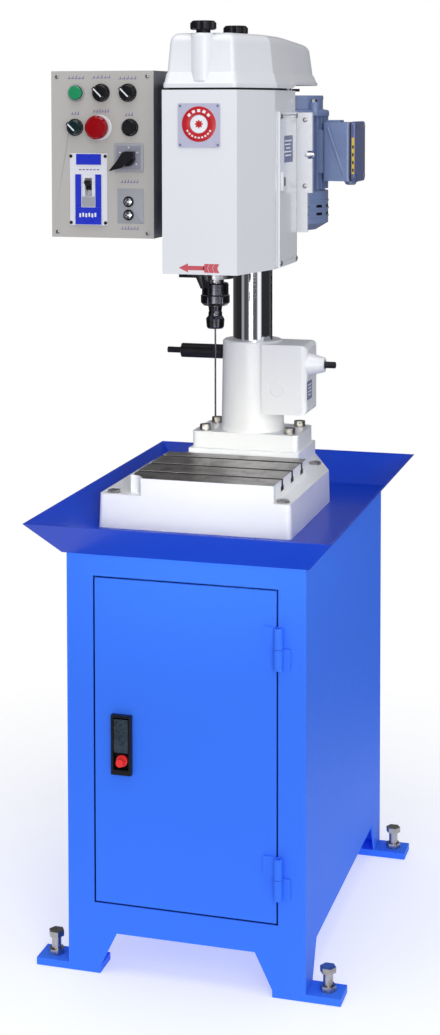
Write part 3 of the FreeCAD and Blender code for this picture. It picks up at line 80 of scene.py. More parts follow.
class Recipe:
    """One node material being put together."""

    def __init__(self, name, color, roughness, metallic=0.0):
        """Starts with a plain colour, roughness and metallic value."""
        self.material = bpy.data.materials.new(name)
        self.material.use_nodes = True
        self.tree = self.material.node_tree
        self.shader = self.tree.nodes["Principled BSDF"]
        self.color = color
        self.roughness = roughness
        self.shader.inputs["Base Color"].default_value = color
        self.shader.inputs["Roughness"].default_value = roughness
        self.shader.inputs["Metallic"].default_value = metallic
        self.place = self.add("ShaderNodeTexCoord").outputs["Object"]
        self.height = None

    def add(self, kind, **sockets):
        """New node of a kind; sockets are set by name, with _ for a space."""
        node = self.tree.nodes.new(kind)
        for name, value in sockets.items():
            node.inputs[name.replace("_", " ")].default_value = value
        return node

    def link(self, source, target):
        """Joins an output to an input."""
        self.tree.links.new(source, target)

    def noise(self, scale, detail=3.0, stretch=(1, 1, 1)):
        """Noise in metres; stretch gives how much finer it is along each axis."""
        mapping = self.add("ShaderNodeMapping")
        mapping.inputs["Scale"].default_value = stretch
        self.link(self.place, mapping.inputs["Vector"])
        texture = self.add("ShaderNodeTexNoise", Scale=scale, Detail=detail)
        self.link(mapping.outputs["Vector"], texture.inputs["Vector"])
        return texture.outputs["Fac"]

    def between(self, source, low, high, start=0.0, end=1.0):
        """The source rescaled from low..high to start..end."""
        ramp = self.add("ShaderNodeMapRange")
        for name, value in (("From Min", low), ("From Max", high), ("To Min", start), ("To Max", end)):
            ramp.inputs[name].default_value = value
        self.link(source, ramp.inputs["Value"])
        return ramp.outputs["Result"]

    def tint(self, mask, color):
        """Mixes another colour into the base colour where the mask is 1."""
        mix = self.add("ShaderNodeMix")
        mix.data_type = "RGBA"
        self.link(mask, mix.inputs["Factor"])
        base = self.shader.inputs["Base Color"]
        if base.is_linked:
            self.link(base.links[0].from_socket, mix.inputs["A"])
        else:
            mix.inputs["A"].default_value = self.color
        mix.inputs["B"].default_value = color
        self.link(mix.outputs["Result"], base)

    def vary_roughness(self, source, amount):
        """Lets the roughness follow the source by the amount either way."""
        self.link(self.between(source, 0.3, 0.7, self.roughness - amount, self.roughness + amount),
                  self.shader.inputs["Roughness"])

    def bump(self, source, depth):
        """Adds relief of the given depth in metres."""
        bump = self.add("ShaderNodeBump", Strength=1.0, Distance=depth)
        self.link(source, bump.inputs["Height"])
        if self.height is not None:
            self.link(self.height, bump.inputs["Normal"])
        self.height = bump.outputs["Normal"]
        self.link(self.height, self.shader.inputs["Normal"])

    def edges(self, radius, low, high):
        """Mask of the surface near its sharp edges, broken up by noise."""
        bevel = self.add("ShaderNodeBevel", Radius=radius)
        bevel.samples = 4
        shape = self.add("ShaderNodeNewGeometry")
        match = self.add("ShaderNodeVectorMath")
        match.operation = "DOT_PRODUCT"
        self.link(bevel.outputs["Normal"], match.inputs[0])
        self.link(shape.outputs["True Normal"], match.inputs[1])
        near = self.between(match.outputs["Value"], high, low)
        patch = self.between(self.noise(260, 4), 0.45, 0.62)
        both = self.add("ShaderNodeMath")
        both.operation = "MULTIPLY"
        self.link(near, both.inputs[0])
        self.link(patch, both.inputs[1])
        return both.outputs["Value"]


def enamel(name, color, roughness=0.24, relief=0.000008, worn=None, lump=0.0, coat=0.5):
    """Gloss paint: orange peel, cloudy tone, and edges where it has rubbed thin."""
    recipe = Recipe(name, color, roughness)
    recipe.shader.inputs["Coat Weight"].default_value = coat
    recipe.shader.inputs["Specular IOR Level"].default_value = 0.1 + 0.8 * coat
    recipe.shader.inputs["Coat Roughness"].default_value = 0.08
    cloud = recipe.noise(4, 2)
    darker = tuple(value * 0.975 for value in color[:3]) + (1.0,)
    recipe.tint(recipe.between(cloud, 0.3, 0.8), darker)
    if worn:
        recipe.tint(recipe.edges(0.0010, 0.72, 0.90), worn)
    recipe.vary_roughness(recipe.noise(20, 2), 0.012)
    recipe.bump(recipe.noise(260, 2), relief)
    if lump:
        recipe.bump(recipe.noise(45, 3), lump)
    return recipe.material


def metal(name, color, roughness, streaks=None, relief=0.00002, stain=None):
    """Bare metal: tool marks along one direction and faint stains."""
    recipe = Recipe(name, color, roughness, 1.0)
    if stain:
        recipe.tint(recipe.between(recipe.noise(28, 6), 0.48, 0.72), stain)
    marks = recipe.noise(1.0, 3, streaks) if streaks else recipe.noise(240, 4)
    recipe.vary_roughness(marks, min(0.1, roughness * 0.5))
    recipe.bump(marks, relief)
    return recipe.material


def moulded(name, color, roughness=0.4, grain=900, relief=0.00001, gloss=0.5):
    """Moulded plastic or rubber with a fine skin texture."""
    recipe = Recipe(name, color, roughness)
    recipe.shader.inputs["Specular IOR Level"].default_value = gloss
    recipe.vary_roughness(recipe.noise(60, 3), 0.06)
    paler = tuple(min(1.0, value * 1.15 + 0.002) for value in color[:3]) + (1.0,)
    recipe.tint(recipe.between(recipe.noise(25, 4), 0.55, 0.85), paler)
    recipe.bump(recipe.noise(grain, 2), relief)
    return recipe.material


WHITE = (0.80, 0.81, 0.84, 1.0)
BLUE = linear(58, 119, 246)
MATERIALS = {
    "cabinet_blue": enamel("cabinet_blue", BLUE, 0.5, worn=linear(96, 140, 246), coat=0.0),
    "pan_blue": enamel("pan_blue", linear(14, 60, 188), 0.26, worn=linear(60, 104, 214),
                       coat=0.15),
    "cast_white": enamel("cast_white", WHITE, 0.34, relief=0.00003, lump=0.0002),
    "body_white": enamel("body_white", WHITE, 0.30),
    "machined_flat": metal("machined_flat", (0.36, 0.34, 0.33, 1), 0.36, (900, 14, 14), 0.00002,
                           linear(104, 96, 92)),
    # Near-black iron for the T-slot faces: painted shade inside the slots.
    "slot_shade_iron": metal("slot_shade_iron", (0.10, 0.095, 0.095, 1), 0.5, (14, 400, 400), 0.00003,
                       linear(58, 54, 54)),
    "hard_chrome": metal("hard_chrome", (0.80, 0.81, 0.85, 1), 0.06, (30, 30, 700), 0.000004),
    "turned_steel": metal("turned_steel", (0.34, 0.34, 0.37, 1), 0.24, (60, 60, 1600), 0.00002,
                          linear(78, 76, 78)),
    "zinc_steel": metal("zinc_steel", (0.46, 0.45, 0.44, 1), 0.32, None, 0.00003,
                        linear(126, 120, 108)),
    "dark_steel": metal("dark_steel", (0.045, 0.045, 0.05, 1), 0.38, None, 0.00004,
                        linear(66, 64, 68)),
    "blackened": metal("blackened", (0.13, 0.13, 0.15, 1), 0.20, (60, 60, 900), 0.00002,
                       linear(60, 60, 66)),
    "bright_trim": metal("bright_trim", (0.66, 0.67, 0.70, 1), 0.16, None, 0.00001),
    "bronze": metal("bronze", (0.55, 0.34, 0.14, 1), 0.33, None, 0.00002, linear(120, 84, 48)),
    "black_plastic": moulded("black_plastic", (0.008, 0.008, 0.011, 1), 0.34, gloss=0.25),
    "grey_plastic": moulded("grey_plastic", linear(158, 160, 166), 0.42),
    "dial_grey": moulded("dial_grey", linear(142, 142, 156), 0.38),
    "white_plastic": moulded("white_plastic", (0.74, 0.75, 0.79, 1), 0.35),
    "green_plastic": moulded("green_plastic", linear(34, 142, 94), 0.14),
    "teal_plastic": moulded("teal_plastic", linear(10, 40, 44), 0.25),
    "red_plastic": moulded("red_plastic", linear(146, 4, 16), 0.10),
    "orange_plastic": moulded("orange_plastic", linear(236, 50, 52), 0.25),
    "latch_grey": metal("latch_grey", linear(84, 98, 112), 0.36, None, 0.00002, linear(60, 72, 84)),
    "rubber": moulded("rubber", (0.016, 0.016, 0.017, 1), 0.7, 500, 0.0001),
    "motor_paint": enamel("motor_paint", linear(112, 130, 170), 0.34, 0.00003,
                          linear(158, 170, 192), 0.0001),
    # Darker copy of the motor paint for the connection box lid: painted shade on the lid.
    "terminal_lid_shaded_paint": enamel("terminal_lid_shaded_paint", linear(82, 92, 138), 0.34, 0.00003),
    "box_grey": enamel("box_grey", linear(80, 83, 93), 0.38, 0.00002),
    "panel_grey": enamel("panel_grey", linear(188, 185, 180), 0.36, 0.00002),
    "print_red": moulded("print_red", linear(190, 16, 28), 0.34),
    "print_rose": moulded("print_rose", linear(200, 84, 94), 0.4),
    "print_blue": moulded("print_blue", linear(22, 46, 196), 0.32),
    "print_lilac": moulded("print_lilac", linear(118, 106, 158), 0.4),
    "print_slate": moulded("print_slate", linear(104, 114, 152), 0.4),
    "print_yellow": moulded("print_yellow", linear(214, 180, 40), 0.4),
    "tape_white": moulded("tape_white", (0.80, 0.81, 0.84, 1), 0.3),
    "badge_silver": moulded("badge_silver", linear(184, 184, 206), 0.32, 60),
}

NODE_MATERIALS = {
    "cabinet_blue": ("cabinet_sides", "cabinet_back", "cabinet_front", "cabinet_floor", "foot_plates",
                     "door_panel", "door_hinge_knuckles", "frame_hinge_knuckles"),
    "pan_blue": ("chip_pan",),
    "cast_white": ("table_base", "column_support", "gearbox_cover", "shaft_plug"),
    "body_white": ("head_casting", "side_cover", "belt_cover", "motor_plate"),
    "hard_chrome": ("column",),
    "turned_steel": ("quill", "quill_bearings", "spindle", "motor_rotor"),
    "blackened": ("collet_chuck", "reducer_chuck", "drill_bit"),
    "zinc_steel": ("levelling_feet", "base_bolts", "flange_bolts", "side_cover_screws",
                   "motor_pulley", "spindle_pulley"),
    "dark_steel": ("column_rack", "clamp_spindle", "worm_shaft", "pinion_shaft", "stop_plate"),
    "bronze": ("lift_wheel",),
    "bright_trim": ("toggle_upper", "toggle_lower"),
    "latch_grey": ("latch_paddle",),
    "black_plastic": ("latch_housing", "black_button", "selector_left", "selector_right",
                      "cam_switch", "breaker_toggle", "cover_knob_front", "cover_knob_back"),
    "teal_plastic": ("selector_small",),
    "green_plastic": ("green_button",),
    "red_plastic": ("stop_button",),
    "orange_plastic": ("latch_button",),
    "rubber": ("drive_belt",),
    "motor_paint": ("motor_frame", "motor_cowl", "terminal_box"),
    "box_grey": ("control_box",),
    "panel_grey": ("control_panel",),
    "white_plastic": ("breaker",),
    "badge_silver": ("badge_plate",),
}


def dress(node, material):
    """Gives a CAD node its material."""
    mesh = frame["nodes"][node].data
    mesh.materials.clear()
    mesh.materials.append(material)


def soften(node, width, angle=35):
    """Breaks a CAD node's sharp edges with a narrow rounded bevel."""
    item = frame["nodes"][node]
    weld = item.modifiers.new("weld", "WELD")
    weld.merge_threshold = 0.00001
    bevel = item.modifiers.new("soft_edges", "BEVEL")
    bevel.width = width * MM
    bevel.segments = 2
    bevel.limit_method = "ANGLE"
    bevel.angle_limit = math.radians(angle)
    bevel.use_clamp_overlap = True
    bevel.miter_outer = "MITER_ARC"
    bevel.harden_normals = False
    item.modifiers.new("smooth", "WEIGHTED_NORMAL").keep_sharp = True


for material_name, node_names in NODE_MATERIALS.items():
    for node_name in node_names:
        dress(node_name, MATERIALS[material_name])


# ---- mesh helpers ----------------------------------------------------------------------------

def piece(name, mesh, material, body, smooth=40):
    """Turns a bmesh into a named piece that rides on a CAD body."""
    bmesh.ops.remove_doubles(mesh, verts=mesh.verts, dist=1e-6)
    bmesh.ops.recalc_face_normals(mesh, faces=mesh.faces)
    data = bpy.data.meshes.new(name)
    mesh.to_mesh(data)
    mesh.free()
    data.materials.append(MATERIALS[material])
    item = bpy.data.objects.new(name, data)
    bpy.context.scene.collection.objects.link(item)
    data.shade_smooth()
    data.set_sharp_from_angle(angle=math.radians(smooth))
    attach(item, body)
    return item


def turn_to(axis):
    """Matrix that takes local +Z to the axis."""
    return Vector((0, 0, 1)).rotation_difference(Vector(axis)).to_matrix().to_4x4()


def add_prism(mesh, points, low, high, to_world):
    """Closed prism over a flat outline, from low to high, sent through to_world(x, y, z)."""
    bottom = [mesh.verts.new(to_world(x, y, low)) for x, y in points]
    top = [mesh.verts.new(to_world(x, y, high)) for x, y in points]
    mesh.faces.new(list(reversed(bottom)))
    mesh.faces.new(top)
    count = len(points)
    for index in range(count):
        after = (index + 1) % count
        mesh.faces.new((bottom[index], bottom[after], top[after], top[index]))


def join_rings(mesh, ring, after):
    """Faces between two closed rings of vertices."""
    for step in range(len(ring)):
        following = (step + 1) % len(ring)
        mesh.faces.new((ring[step], ring[following], after[following], after[step]))


def add_ring(mesh, profile, centre, axis, steps=48):
    """Surface of revolution; the profile's (radius, height) points run round a closed section."""
    matrix = Matrix.Translation(centre) @ turn_to(axis)
    rings = []
    for radius, height in profile:
        ring = []
        for step in range(steps):
            angle = 2 * math.pi * step / steps
            local = Vector((radius * math.cos(angle), radius * math.sin(angle), height)) * MM
            ring.append(mesh.verts.new(matrix @ local))
        rings.append(ring)
    count = len(rings)
    for index in range(count):
        ring, after = rings[index], rings[(index + 1) % count]
        for step in range(steps):
            following = (step + 1) % steps
            corners = (ring[step], ring[following], after[following], after[step])
            # A ring of radius 0 is a point, so the faces that start there are triangles.
            if profile[index][0] == 0:
                corners = (ring[step], after[following], after[step])
            mesh.faces.new(corners)


def rounded(width, height, radius, steps=4):
    """Outline of a rectangle with round corners, about the origin."""
    points = []
    for corner, (sx, sy) in enumerate(((1, 1), (-1, 1), (-1, -1), (1, -1))):
        for step in range(steps + 1):
            angle = math.pi / 2 * (corner + step / steps)
            points.append((sx * (width / 2 - radius) + radius * math.cos(angle),
                           sy * (height / 2 - radius) + radius * math.sin(angle)))
    return points


def shifted(points, x, y):
    """The outline moved by x and y."""
    return [(px + x, py + y) for px, py in points]


def bevel_all(mesh, width, segments=2, angle=30):
    """Rounds every sharp edge of the mesh."""
    bmesh.ops.remove_doubles(mesh, verts=mesh.verts, dist=1e-6)
    bmesh.ops.recalc_face_normals(mesh, faces=mesh.faces)
    sharp = [edge for edge in mesh.edges
             if edge.is_manifold and edge.calc_face_angle(0) > math.radians(angle)]
    bmesh.ops.bevel(mesh, geom=sharp, offset=width * MM, segments=segments, affect="EDGES", profile=0.5)


def front_slab(name, outlines, back, thick, material, body="head", edge=0.0):
    """Flat piece facing the front: outlines in (x, z), its back face at y = back."""
    mesh = bmesh.new()
    for points in outlines:
        add_prism(mesh, points, 0, thick, lambda x, z, out: spot(x, back - out, z))
    if edge:
        bevel_all(mesh, edge)
    return piece(name, mesh, material, body)


def side_slab(name, outlines, start, thick, material, body="head", edge=0.0):
    """Flat piece facing +X: outlines in (y, z), its inner face at x = start."""
    mesh = bmesh.new()
    for points in outlines:
        add_prism(mesh, points, 0, thick, lambda y, z, out: spot(start + out, y, z))
    if edge:
        bevel_all(mesh, edge)
    return piece(name, mesh, material, body)


def front_ring(name, x, z, base, profile, material, body="head"):
    """Turned piece facing the front at (x, z), heights measured out of y = base."""
    mesh = bmesh.new()
    add_ring(mesh, profile, spot(x, base, z), (0, -1, 0))
    return piece(name, mesh, material, body)


def cross_screws(name, spots, face, radius, material, facing, body="head"):
    """Pan-head screws with a cross recess; spots lie in the plane facing front or side."""
    mesh = bmesh.new()
    for u, v in spots:
        centre = spot(u, face, v) if facing == "front" else spot(face, u, v)
        axis = (0, -1, 0) if facing == "front" else (1, 0, 0)
        profile = [(0, 0), (radius, 0), (radius, 0.5), (radius * 0.8, 1.2), (radius * 0.4, 1.6), (0, 1.7)]
        add_ring(mesh, profile, centre, axis, 20)
    return piece(name, mesh, material, body)


# ---- control box -----------------------------------------------------------------------------

def centre_of(node):
    """Machine-frame x and z of the middle of a node's box."""
    low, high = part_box(node)
    return ((low.x + high.x) / 2 - MACHINE_X) / MM, (low.z + high.z) / 2 / MM


def bezels():
    """Rings that hold the push buttons and selectors in the panel."""
    ring = [(12.6, 0), (15.2, 0), (15.2, 2.2), (14.2, 3.4), (13.0, 3.6), (12.6, 3.0)]
    for name, material in (("green_button", "grey_plastic"), ("black_button", "black_plastic"),
                           ("selector_left", "black_plastic"), ("selector_right", "black_plastic"),
                           ("selector_small", "black_plastic")):
        x, z = centre_of(name)
        if name.startswith("selector"):
            shape = [(14.2, 0), (15.8, 0), (15.8, 2.0), (15.0, 2.8), (14.4, 2.4)]
            if name == "selector_small":
                shape = [(radius - 0.8, height) for radius, height in shape]
        else:
            shape = ring
        front_ring(name + "_bezel", x, z, PANEL_FACE, shape, material)
    x, z = centre_of("stop_button")
    front_ring("stop_button_bezel", x, z, PANEL_FACE,
               [(12.5, 0), (22.0, 0), (22.0, 0.8), (21.0, 1.6), (12.5, 1.6)], "white_plastic")


def selector_marks():
    """White bars along the selectors' finger grips."""
    cut, scale = 2.2, 0.707
    for name, half in (("selector_left", 11.0), ("selector_right", 11.0), ("selector_small", 9.5)):
        x, z = centre_of(name)
        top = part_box(name)[0].y / MM
        corners = [(-half, half - cut), (-half + cut, half), (half, -half + cut), (half - cut, -half)]
        bar = [(px * scale + x, pz * scale + z) for px, pz in corners]
        front_slab(name + "_mark", [bar], top, 0.5, "tape_white", name)


def legends():
    """Short unreadable strokes where the panel carries its labels."""
    rows = ((-248, 1466, 5, 6.4), (-201, 1467, 5, 7.0), (-153, 1465, 5, 6.8), (-250, 1404, 3, 5.4),
            (-202, 1408, 6, 5.2), (-151, 1402, 3, 5.4), (-150, 1286, 6, 5.6), (-150, 1205, 6, 5.6))
    bar = 1.5
    outlines = []
    for x, z, count, step in rows:
        for index in range(count):
            left = x + (index - count / 2) * step
            right = left + step * 0.68
            height = 4.2 + (index * 7 % 3) * 0.7
            outlines.append([(left, z), (right, z), (right, z + height), (right - bar, z + height),
                             (right - bar, z + bar), (left, z + bar)])
    front_slab("panel_legends", outlines, PANEL_FACE, 0.15, "print_lilac")


def switch_plates():
    """Plates of the cam switch and of the two toggles, with ticks, washers and nuts."""
    cam_x, cam_z = -151.5, 1330
    front_slab("cam_plate", [shifted(rounded(53, 50, 3), cam_x, cam_z)], PANEL_FACE, 2.4, "grey_plastic",
               edge=0.6)
    front_slab("cam_plate_field", [shifted(rounded(44, 41, 2), cam_x, cam_z)], PANEL_FACE - 2.4, 0.3,
               "dial_grey")
    ticks = []
    for angle in (-60, 0, 60, 130, 215):
        reach_x, reach_z = math.sin(math.radians(angle)), math.cos(math.radians(angle))
        ticks.append(shifted(rounded(2.4, 2.4, 0.6, 2), cam_x + 18.2 * reach_x, cam_z + 17.5 * reach_z))
    front_slab("cam_plate_ticks", ticks, PANEL_FACE - 2.7, 0.2, "tape_white")
    front_slab("toggle_plate", [shifted(rounded(48, 60, 1.5), -149, 1246)], PANEL_FACE, 1.0,
               "grey_plastic", edge=0.3)
    for name in ("toggle_upper", "toggle_lower"):
        x, z = centre_of(name)
        front_ring(name + "_washer", x, z, PANEL_FACE - 1,
                   [(2.9, 0), (9.5, 0), (9.5, 0.8), (9.0, 1.1), (2.9, 1.1)], "black_plastic")
        nut = bmesh.new()
        hexagon = [(x + 7.2 * math.cos(math.pi / 3 * side), z + 7.2 * math.sin(math.pi / 3 * side))
                   for side in range(6)]
        add_prism(nut, hexagon, 2.1, 5.0, lambda px, pz, out: spot(px, PANEL_FACE - out, pz))
        bevel_all(nut, 0.4)
        piece(name + "_nut", nut, "bright_trim", "head")


def breaker_trim():
    """Coloured frame, band, window and marks on the breaker, and its plate's screws."""
    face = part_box("breaker")[0].y / MM
    plate = PANEL_FACE - 2.0
    lower_bar = [(-249, 1213), (-201, 1213), (-201, 1243), (-249, 1243)]
    left_bar = [(-249, 1243.1), (-238, 1243.1), (-238, 1300.5), (-249, 1300.5)]
    right_bar = [(-212, 1243.1), (-201, 1243.1), (-201, 1300.5), (-212, 1300.5)]
    window = [(-236.6, 1244.2), (-213.4, 1244.2), (-213.4, 1261.4), (-236.6, 1261.4)]
    front_slab("breaker_frame", [lower_bar, left_bar, right_bar], face, 0.4, "print_blue")
    front_slab("breaker_band", [shifted(rounded(46, 18.5, 1), -224.8, 1326.5)], plate - 1.5, 0.4,
               "print_blue")
    marks = [shifted(rounded(3.2, 7, 0.8), -240 + 5.6 * index, 1229 + index % 2) for index in range(6)]
    front_slab("breaker_marks", marks, face - 0.4, 0.15, "tape_white")
    front_slab("breaker_window", [window], face + 2.0, 0.5, "grey_plastic")
    dashes = [shifted(rounded(4.5, 2, 0.4), -241 + 6.6 * index, 1308.5) for index in range(6)]
    front_slab("breaker_dashes", dashes, plate, 0.15, "print_lilac")
    cross_screws("breaker_screws", [(-258, 1332), (-194.5, 1332), (-258, 1216), (-194.5, 1216)], plate,
                 3.0, "black_plastic", "front")


def control_box_trim():
    """Everything drawn on the control panel."""
    bezels()
    selector_marks()
    legends()
    switch_plates()
    breaker_trim()
    cross_screws("panel_screws", [(-284, 1470), (-118, 1470), (-284, 1199), (-118, 1199)], PANEL_FACE, 3.6,
                 "zinc_steel", "front")


# ---- head ------------------------------------------------------------------------------------

def cog(x, z, outer, inner, teeth):
    """Outline of a plain gear wheel."""
    points = []
    for tooth in range(teeth):
        for part, radius in ((-0.30, inner), (-0.20, outer), (0.20, outer), (0.30, inner)):
            angle = 2 * math.pi * (tooth + part) / teeth
            points.append((x + radius * math.cos(angle), z + radius * math.sin(angle)))
    return points


def arc_dash(x, z, radius, angle, half_long, half_wide):
    """Small rectangle lying along a circle about (x, z), as an outline."""
    cosine, sine = math.cos(angle), math.sin(angle)
    corners = [(-half_long, -half_wide), (half_long, -half_wide), (half_long, half_wide),
               (-half_long, half_wide)]
    return [(x + (radius + v) * cosine - u * sine, z + (radius + v) * sine + u * cosine)
            for u, v in corners]


def badge():
    """Round red emblem with plain dashes and a small gear wheel in the middle."""
    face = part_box("badge_plate")[0].y / MM
    x, plate_z = centre_of("badge_plate")
    z = plate_z + 2
    front_ring("badge_ring", x, z, face, [(15.5, 0), (29.5, 0), (29.5, 0.35), (29.2, 0.5), (15.8, 0.5),
                                          (15.5, 0.35)], "print_red")
    front_ring("badge_centre", x, z, face, [(0, 0), (14.6, 0), (14.6, 0.3), (0, 0.3)], "tape_white")
    front_slab("badge_cog", [cog(x, z, 7.0, 5.0, 8)], face - 0.3, 0.25, "print_red")
    dashes = []
    for index in range(5):
        dashes.append(arc_dash(x, z, 22.4, math.radians(90 + 24 * (index - 2)), 2.6, 2.4))
    for index in range(9):
        dashes.append(arc_dash(x, z, 22.6, math.radians(270 + 15 * (index - 4)), 1.7, 1.4))
    front_slab("badge_dashes", dashes, face - 0.5, 0.15, "tape_white")
    half = 32.5
    screws = [(x + sx * half, plate_z + sz * half) for sx in (-1, 1) for sz in (-1, 1)]
    cross_screws("badge_screws", screws, face, 2.0, "print_slate", "front")


def direction_arrow():
    """Red sticker: an arrow pointing left with a feathered tail."""
    z = 1149
    head = [(-36, z), (-20, z + 7.6), (-20, z + 3.6), (8, z + 3.6), (8, z - 3.6), (-20, z - 3.6),
            (-20, z - 7.6)]
    tail = []
    for index in range(3):
        left = 9.2 + index * 8.6
        tail.append([(left, z - 7.4), (left + 8.0, z - 7.4), (left + 4.6, z), (left + 8.0, z + 7.4),
                     (left, z + 7.4), (left - 3.4, z)])
    front_slab("direction_arrow", [head] + tail, HEAD_FRONT, 0.2, "print_rose")


def stop_bracket():
    """Short bar under the head's front edge, whose arm slopes down beside the quill."""
    under = HEAD_LOW.z / MM
    outline = [(-38, under), (-38, under - 6), (-8, under - 6), (0, under - 24), (6, under - 24),
               (2, under - 6), (2, under)]
    bar = front_slab("stop_bracket", [outline], -114, 35, "dark_steel", edge=0.6)
    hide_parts("stop_plate")


def side_trim():
    """Label and catch on the head's right side cover."""
    face = (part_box("side_cover")[1].x - MACHINE_X) / MM
    side_slab("side_label", [shifted(rounded(62, 47, 1.5), 55, 1343.5)], face, 0.3, "print_slate")
    rows = [shifted(rounded(50 - 9 * (row % 3), 2.4, 0.6), 52 - 3 * (row % 2), 1358 - row * 6.4)
            for row in range(5)]
    side_slab("side_label_rows", rows, face + 0.3, 0.12, "tape_white")
    side_slab("side_catch", [shifted(rounded(24, 34, 3), 8, 1288)], face, 5.0, "white_plastic", edge=1.2)
    # Black patch on the catch for its slot: painted shade in the slot.
    side_slab("side_catch_slot_shade", [shifted(rounded(8, 16, 3), 8, 1288)], face + 5.0, 0.4, "black_plastic")


# ---- belt cover ------------------------------------------------------------------------------

# Plan of the cover's walls at their foot; the lip stands out LID_LIP from them.
LID_LIP = 7.0
LID_SIDE_EXTRA = 2
LID_BACK_EXTRA = 12
LID_FACE_HALF = 58
LID_CHEEK_Y = -26
# How far the two ends of the slanting cheek move when the plan grows by 1 mm.
LID_FACE_RATE = 0.65
LID_CHEEK_RATE = 0.21
LID_SKIRT = 26
LID_SHOULDER = 18
# Start and end along y, and how far the surface drops or rises between them.
LID_ROOF_SLOPE = (95, 298, 9)
LID_REAR_STEP = (84, 96, 7)
CORNER_STEPS = 6
SIDE_STEPS = 7


def lid_corners(grow):
    """Corners (x, y, rounding) of the cover's plan, grown outwards by a number of millimetres."""
    low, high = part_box("belt_cover")
    half = (high.x - low.x) / 2 / MM - LID_LIP + LID_SIDE_EXTRA + grow
    front = low.y / MM + LID_LIP - grow
    back = high.y / MM - LID_LIP + LID_BACK_EXTRA + grow
    face = LID_FACE_HALF + LID_FACE_RATE * grow
    cheek = LID_CHEEK_Y - LID_CHEEK_RATE * grow
    return [(-face, front, 9), (face, front, 9), (half, cheek, 14), (half, back, 28),
            (-half, back, 28), (-half, cheek, 14)]


def lid_plan(grow):
    """Points round the cover's plan, corners rounded; every plan has the same number of points."""
    corners = lid_corners(grow)
    outline = []
    for index, (x, y, radius) in enumerate(corners):
        here = Vector((x, y))
        following = Vector(corners[(index + 1) % len(corners)][:2])
        before = Vector(corners[index - 1][:2]) - here
        after = following - here
        cut = min(radius * math.tan((math.pi - before.angle(after)) / 2), before.length * 0.45,
                  after.length * 0.45)
        start = here + before.normalized() * cut
        end = here + after.normalized() * cut
        for step in range(CORNER_STEPS + 1):
            share = step / CORNER_STEPS
            outline.append(start.lerp(here, share).lerp(here.lerp(end, share), share))
        for step in range(1, SIDE_STEPS + 1):
            outline.append(end.lerp(following, step / (SIDE_STEPS + 1) * 0.88))
    return outline


def clamped_share(value, low, high):
    """How far the value lies from low to high, kept within 0 and 1."""
    return min(1.0, max(0.0, (value - low) / (high - low)))


def lid_height(y, z, base, top):
    """Height of a point of the cover: its roof slopes down and its lip steps up towards the back."""
    skirt_top = base + LID_SKIRT
    if z <= skirt_top:
        start, end, rise = LID_REAR_STEP
        return z + rise * clamped_share(y, start, end) * (skirt_top - z) / LID_SKIRT
    start, end, drop = LID_ROOF_SLOPE
    roof = top - drop * clamped_share(y, start, end)
    return skirt_top + (z - skirt_top) * (roof - skirt_top) / (top - skirt_top)


def lid_ring(mesh, grow, z, base, top):
    """Ring of vertices round the cover at one level."""
    return [mesh.verts.new(spot(point.x, point.y, lid_height(point.y, z, base, top)))
            for point in lid_plan(grow)]


def lid_gap_shade(base):
    """Black ring in the gap between the cover's lip and the top of the head: painted shade of the gap."""
    gap_shade_back = LID_REAR_STEP[0]
    high, low = base + 0.8, HEAD_HIGH.z / MM + 0.1
    mesh = bmesh.new()
    rings = []
    for grow, z in ((-3, high), (-3, low), (-9, low), (-9, high)):
        rings.append([mesh.verts.new(spot(point.x, min(point.y, gap_shade_back + grow), z))
                      for point in lid_plan(grow)])
    for index, ring in enumerate(rings):
        join_rings(mesh, ring, rings[(index + 1) % len(rings)])
    bmesh.ops.dissolve_degenerate(mesh, dist=1e-6, edges=mesh.edges)
    piece("lid_gap_shade", mesh, "rubber", "belt_cover")


def belt_lid():
    """Cast cover: flat lip, flared skirt, drafted sides, a rounded shoulder and a sloping roof."""
    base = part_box("belt_cover")[0].z / MM
    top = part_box("belt_cover")[1].z / MM
    draft, roof_edge, shoulder_steps = -5.5, -31, 8
    levels = [(-5, base + 0.5), (LID_LIP - 0.4, base + 0.5), (LID_LIP, base + 1.2),
              (LID_LIP, base + 7.4), (6.2, base + 8.6), (5.0, base + 10.0), (1.6, base + 24.0),
              (0.4, base + 25.4), (-0.6, base + 27.0), (draft, top - LID_SHOULDER)]
    for step in range(1, shoulder_steps + 1):
        angle = math.pi / 2 * step / shoulder_steps
        levels.append((draft - LID_SHOULDER * (1 - math.cos(angle)),
                       top - LID_SHOULDER * (1 - math.sin(angle))))
    levels.append((roof_edge, top))
    last_outer = len(levels) - 1
    levels += [(roof_edge, top - 5), (-12, top - 20), (-8, base + 58), (-5, base + 0.5)]
    mesh = bmesh.new()
    rings = [lid_ring(mesh, grow, z, base, top) for grow, z in levels]
    for index in range(len(rings) - 1):
        if index != last_outer:
            join_rings(mesh, rings[index], rings[index + 1])
    for ring in (rings[last_outer], rings[last_outer + 1]):
        mesh.faces.new(ring)
    bmesh.ops.triangulate(mesh, faces=[face for face in mesh.faces if len(face.verts) > 4])
    lid = piece("belt_lid", mesh, "body_white", "belt_cover", 28)
    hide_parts("belt_cover")
    lid_boss(base, top)
    lid_rest(base)
    lid_gap_shade(base)


def lid_boss(base, top):
    """Half-round column under the front knob."""
    boss = bmesh.new()
    profile = [(0, base + 12), (22.5, base + 12), (20.5, top - 8), (19.5, top - 2.4),
               (17.5, top - 0.6), (0, top - 0.4)]
    add_ring(boss, profile, Vector((MACHINE_X, -131.5 * MM, 0)), (0, 0, 1), 56)
    piece("belt_lid_boss", boss, "body_white", "belt_cover")


def lid_rest(base):
    """Rubber stud that the back of the cover rests on."""
    stud = bmesh.new()
    add_ring(stud, [(0, base - 4), (7, base - 4), (7.6, base - 3.2), (7.6, base + 1), (0, base + 1)],
             Vector((MACHINE_X + 82 * MM, 186 * MM, 0)), (0, 0, 1), 24)
    piece("lid_rest", stud, "rubber", "belt_cover")


# ---- motor -----------------------------------------------------------------------------------

